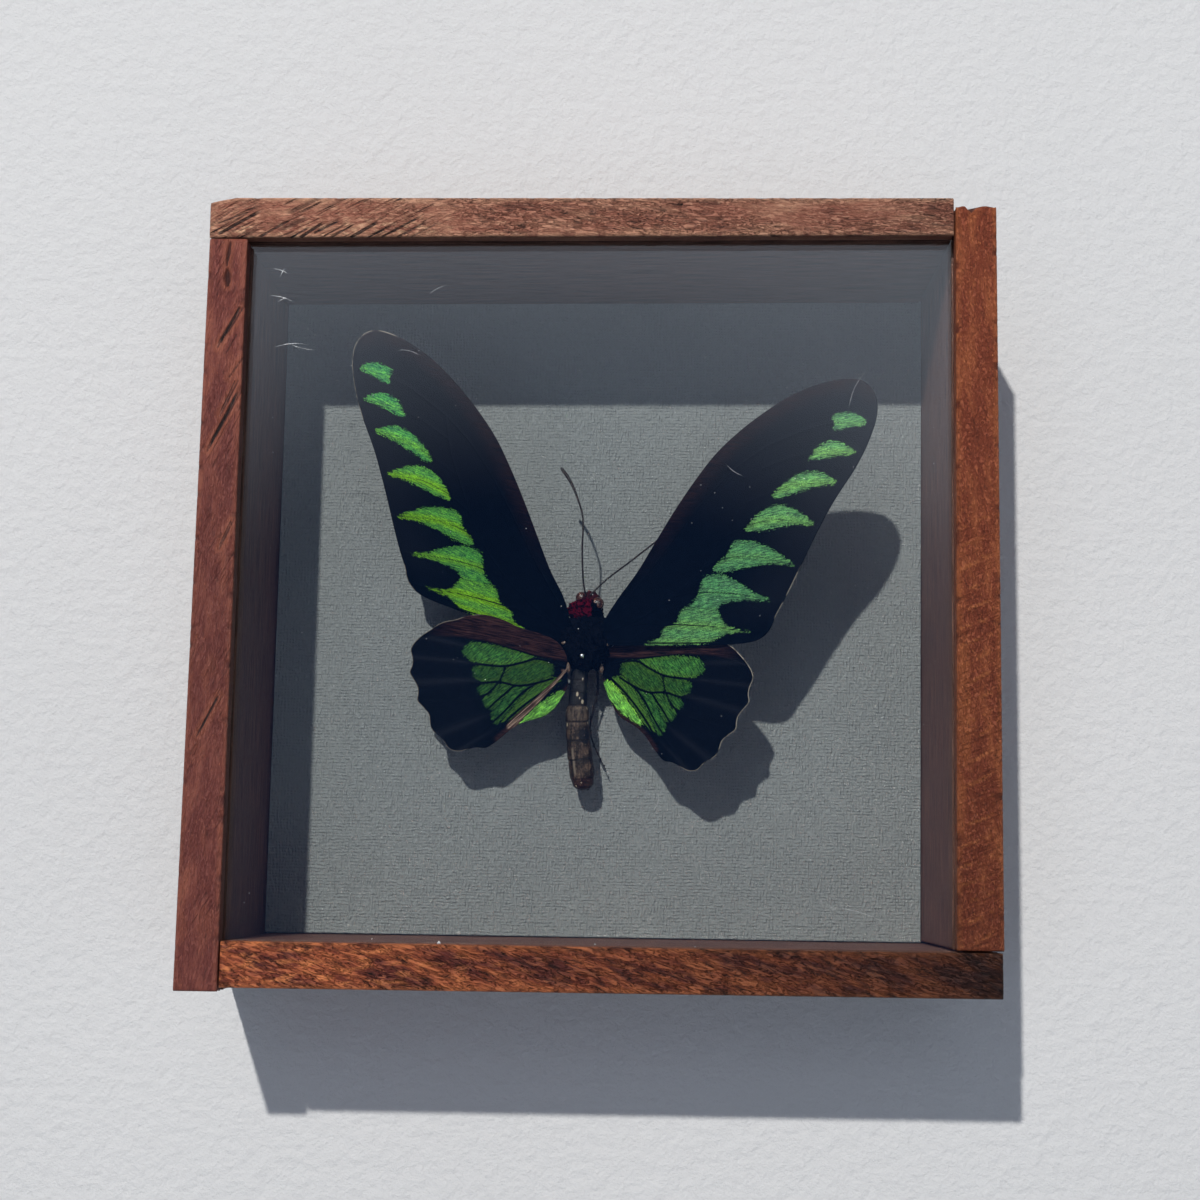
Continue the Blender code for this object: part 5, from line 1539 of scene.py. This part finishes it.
def paleTable():
    finish = Finish("pale_table", IOR=1.45)
    trowel = finish.noise(finish.place(), 300.0, 5.0, 0.65)
    wide = finish.noise(finish.place(), 6.0, 2.0)
    finish.set("Base Color", finish.mix(wide.step(0.3, 0.7), (0.705, 0.710, 0.705), (0.725, 0.728, 0.722)))
    finish.set("Roughness", 0.9)
    finish.set("Normal", finish.bump(trowel, 0.0016, 0.6))
    return finish


floorShape = {"half": 1500.0, "drop": 0.05}
floorCorners = [(x * floorShape["half"], y * floorShape["half"], -floorShape["drop"])
                for x, y in ((-1, -1), (1, -1), (1, 1), (-1, 1))]
floor = meshPiece("table_top", floorCorners, [(0, 1, 2, 3)], smooth=False)
floor.data.materials.append(paleTable().material)

# plain room light: dim and bluish straight overhead, paler round it
roomLight = {"centre": (-0.05, -0.08, 1.0),
             "stops": [(0.25, (0.014, 0.052, 0.165)), (0.42, (1.08, 1.20, 1.42)),
                       (0.56, (0.15, 0.165, 0.195)), (0.90, (0.10, 0.105, 0.122))]}
world = bpy.data.worlds.new("soft_room")
bpy.context.scene.world = world
world.use_nodes = True
roomNodes, roomLinks = world.node_tree.nodes, world.node_tree.links
direction = roomNodes.new("ShaderNodeTexCoord")
away = roomNodes.new("ShaderNodeVectorMath")
away.operation = "DISTANCE"
away.inputs[1].default_value = roomLight["centre"]
rise = roomNodes.new("ShaderNodeValToRGB")
rise.color_ramp.interpolation = "EASE"
for position, _ in roomLight["stops"][2:]:
    rise.color_ramp.elements.new(position)
for element, (position, colour) in zip(rise.color_ramp.elements, roomLight["stops"]):
    element.position = position
    element.color = (*colour, 1.0)
roomLinks.new(direction.outputs["Generated"], away.inputs[0])
roomLinks.new(away.outputs["Value"], rise.inputs[0])
roomLinks.new(rise.outputs[0], roomNodes["Background"].inputs["Color"])
bpy.context.scene.view_settings.view_transform = "Standard"

lamps = {
    "key": {"toward": (-0.2095, 0.498, 1.0), "distance": 3000.0, "size": 60.0, "power": 72.0,
            "colour": (1.0, 0.975, 0.945)},
    "fill": {"toward": (0.9, -0.6, 1.1), "distance": 1500.0, "size": 1200.0, "power": 1.0,
             "colour": (0.90, 0.95, 1.0)},
}
for lampName, lamp in lamps.items():
    data = bpy.data.lights.new(lampName, "AREA")
    data.shape = "DISK"
    data.size = lamp["size"] * mm
    data.energy = lamp["power"]
    data.color = lamp["colour"]
    lampObject = bpy.data.objects.new(lampName, data)
    bpy.context.scene.collection.objects.link(lampObject)
    toward = Vector(lamp["toward"]).normalized()
    lampObject.location = toward * lamp["distance"] * mm
    lampObject.rotation_euler = toward.to_track_quat("Z", "Y").to_euler()

# the camera as worked out from the box's own edges: nearly straight down, a little from below
cameraShape = {"at": (8.73, -58.83, 485.52), "right": (0.99978, 0.01415, -0.01531),
               "up": (-0.01205, 0.99150, 0.12953), "view": (-0.01701, 0.12932, -0.99146), "lens": 61.76}
cameraData = bpy.data.cameras.new("camera")
cameraData.sensor_width = 36.0
cameraData.lens = cameraShape["lens"]
camera = bpy.data.objects.new("camera", cameraData)
bpy.context.scene.collection.objects.link(camera)
backwards = [-c for c in cameraShape["view"]]
turn = Matrix((cameraShape["right"], cameraShape["up"], backwards)).transposed()
camera.matrix_world = Matrix.Translation(Vector(cameraShape["at"]) * mm) @ turn.to_4x4()
bpy.context.scene.camera = camera

print("scene ready")
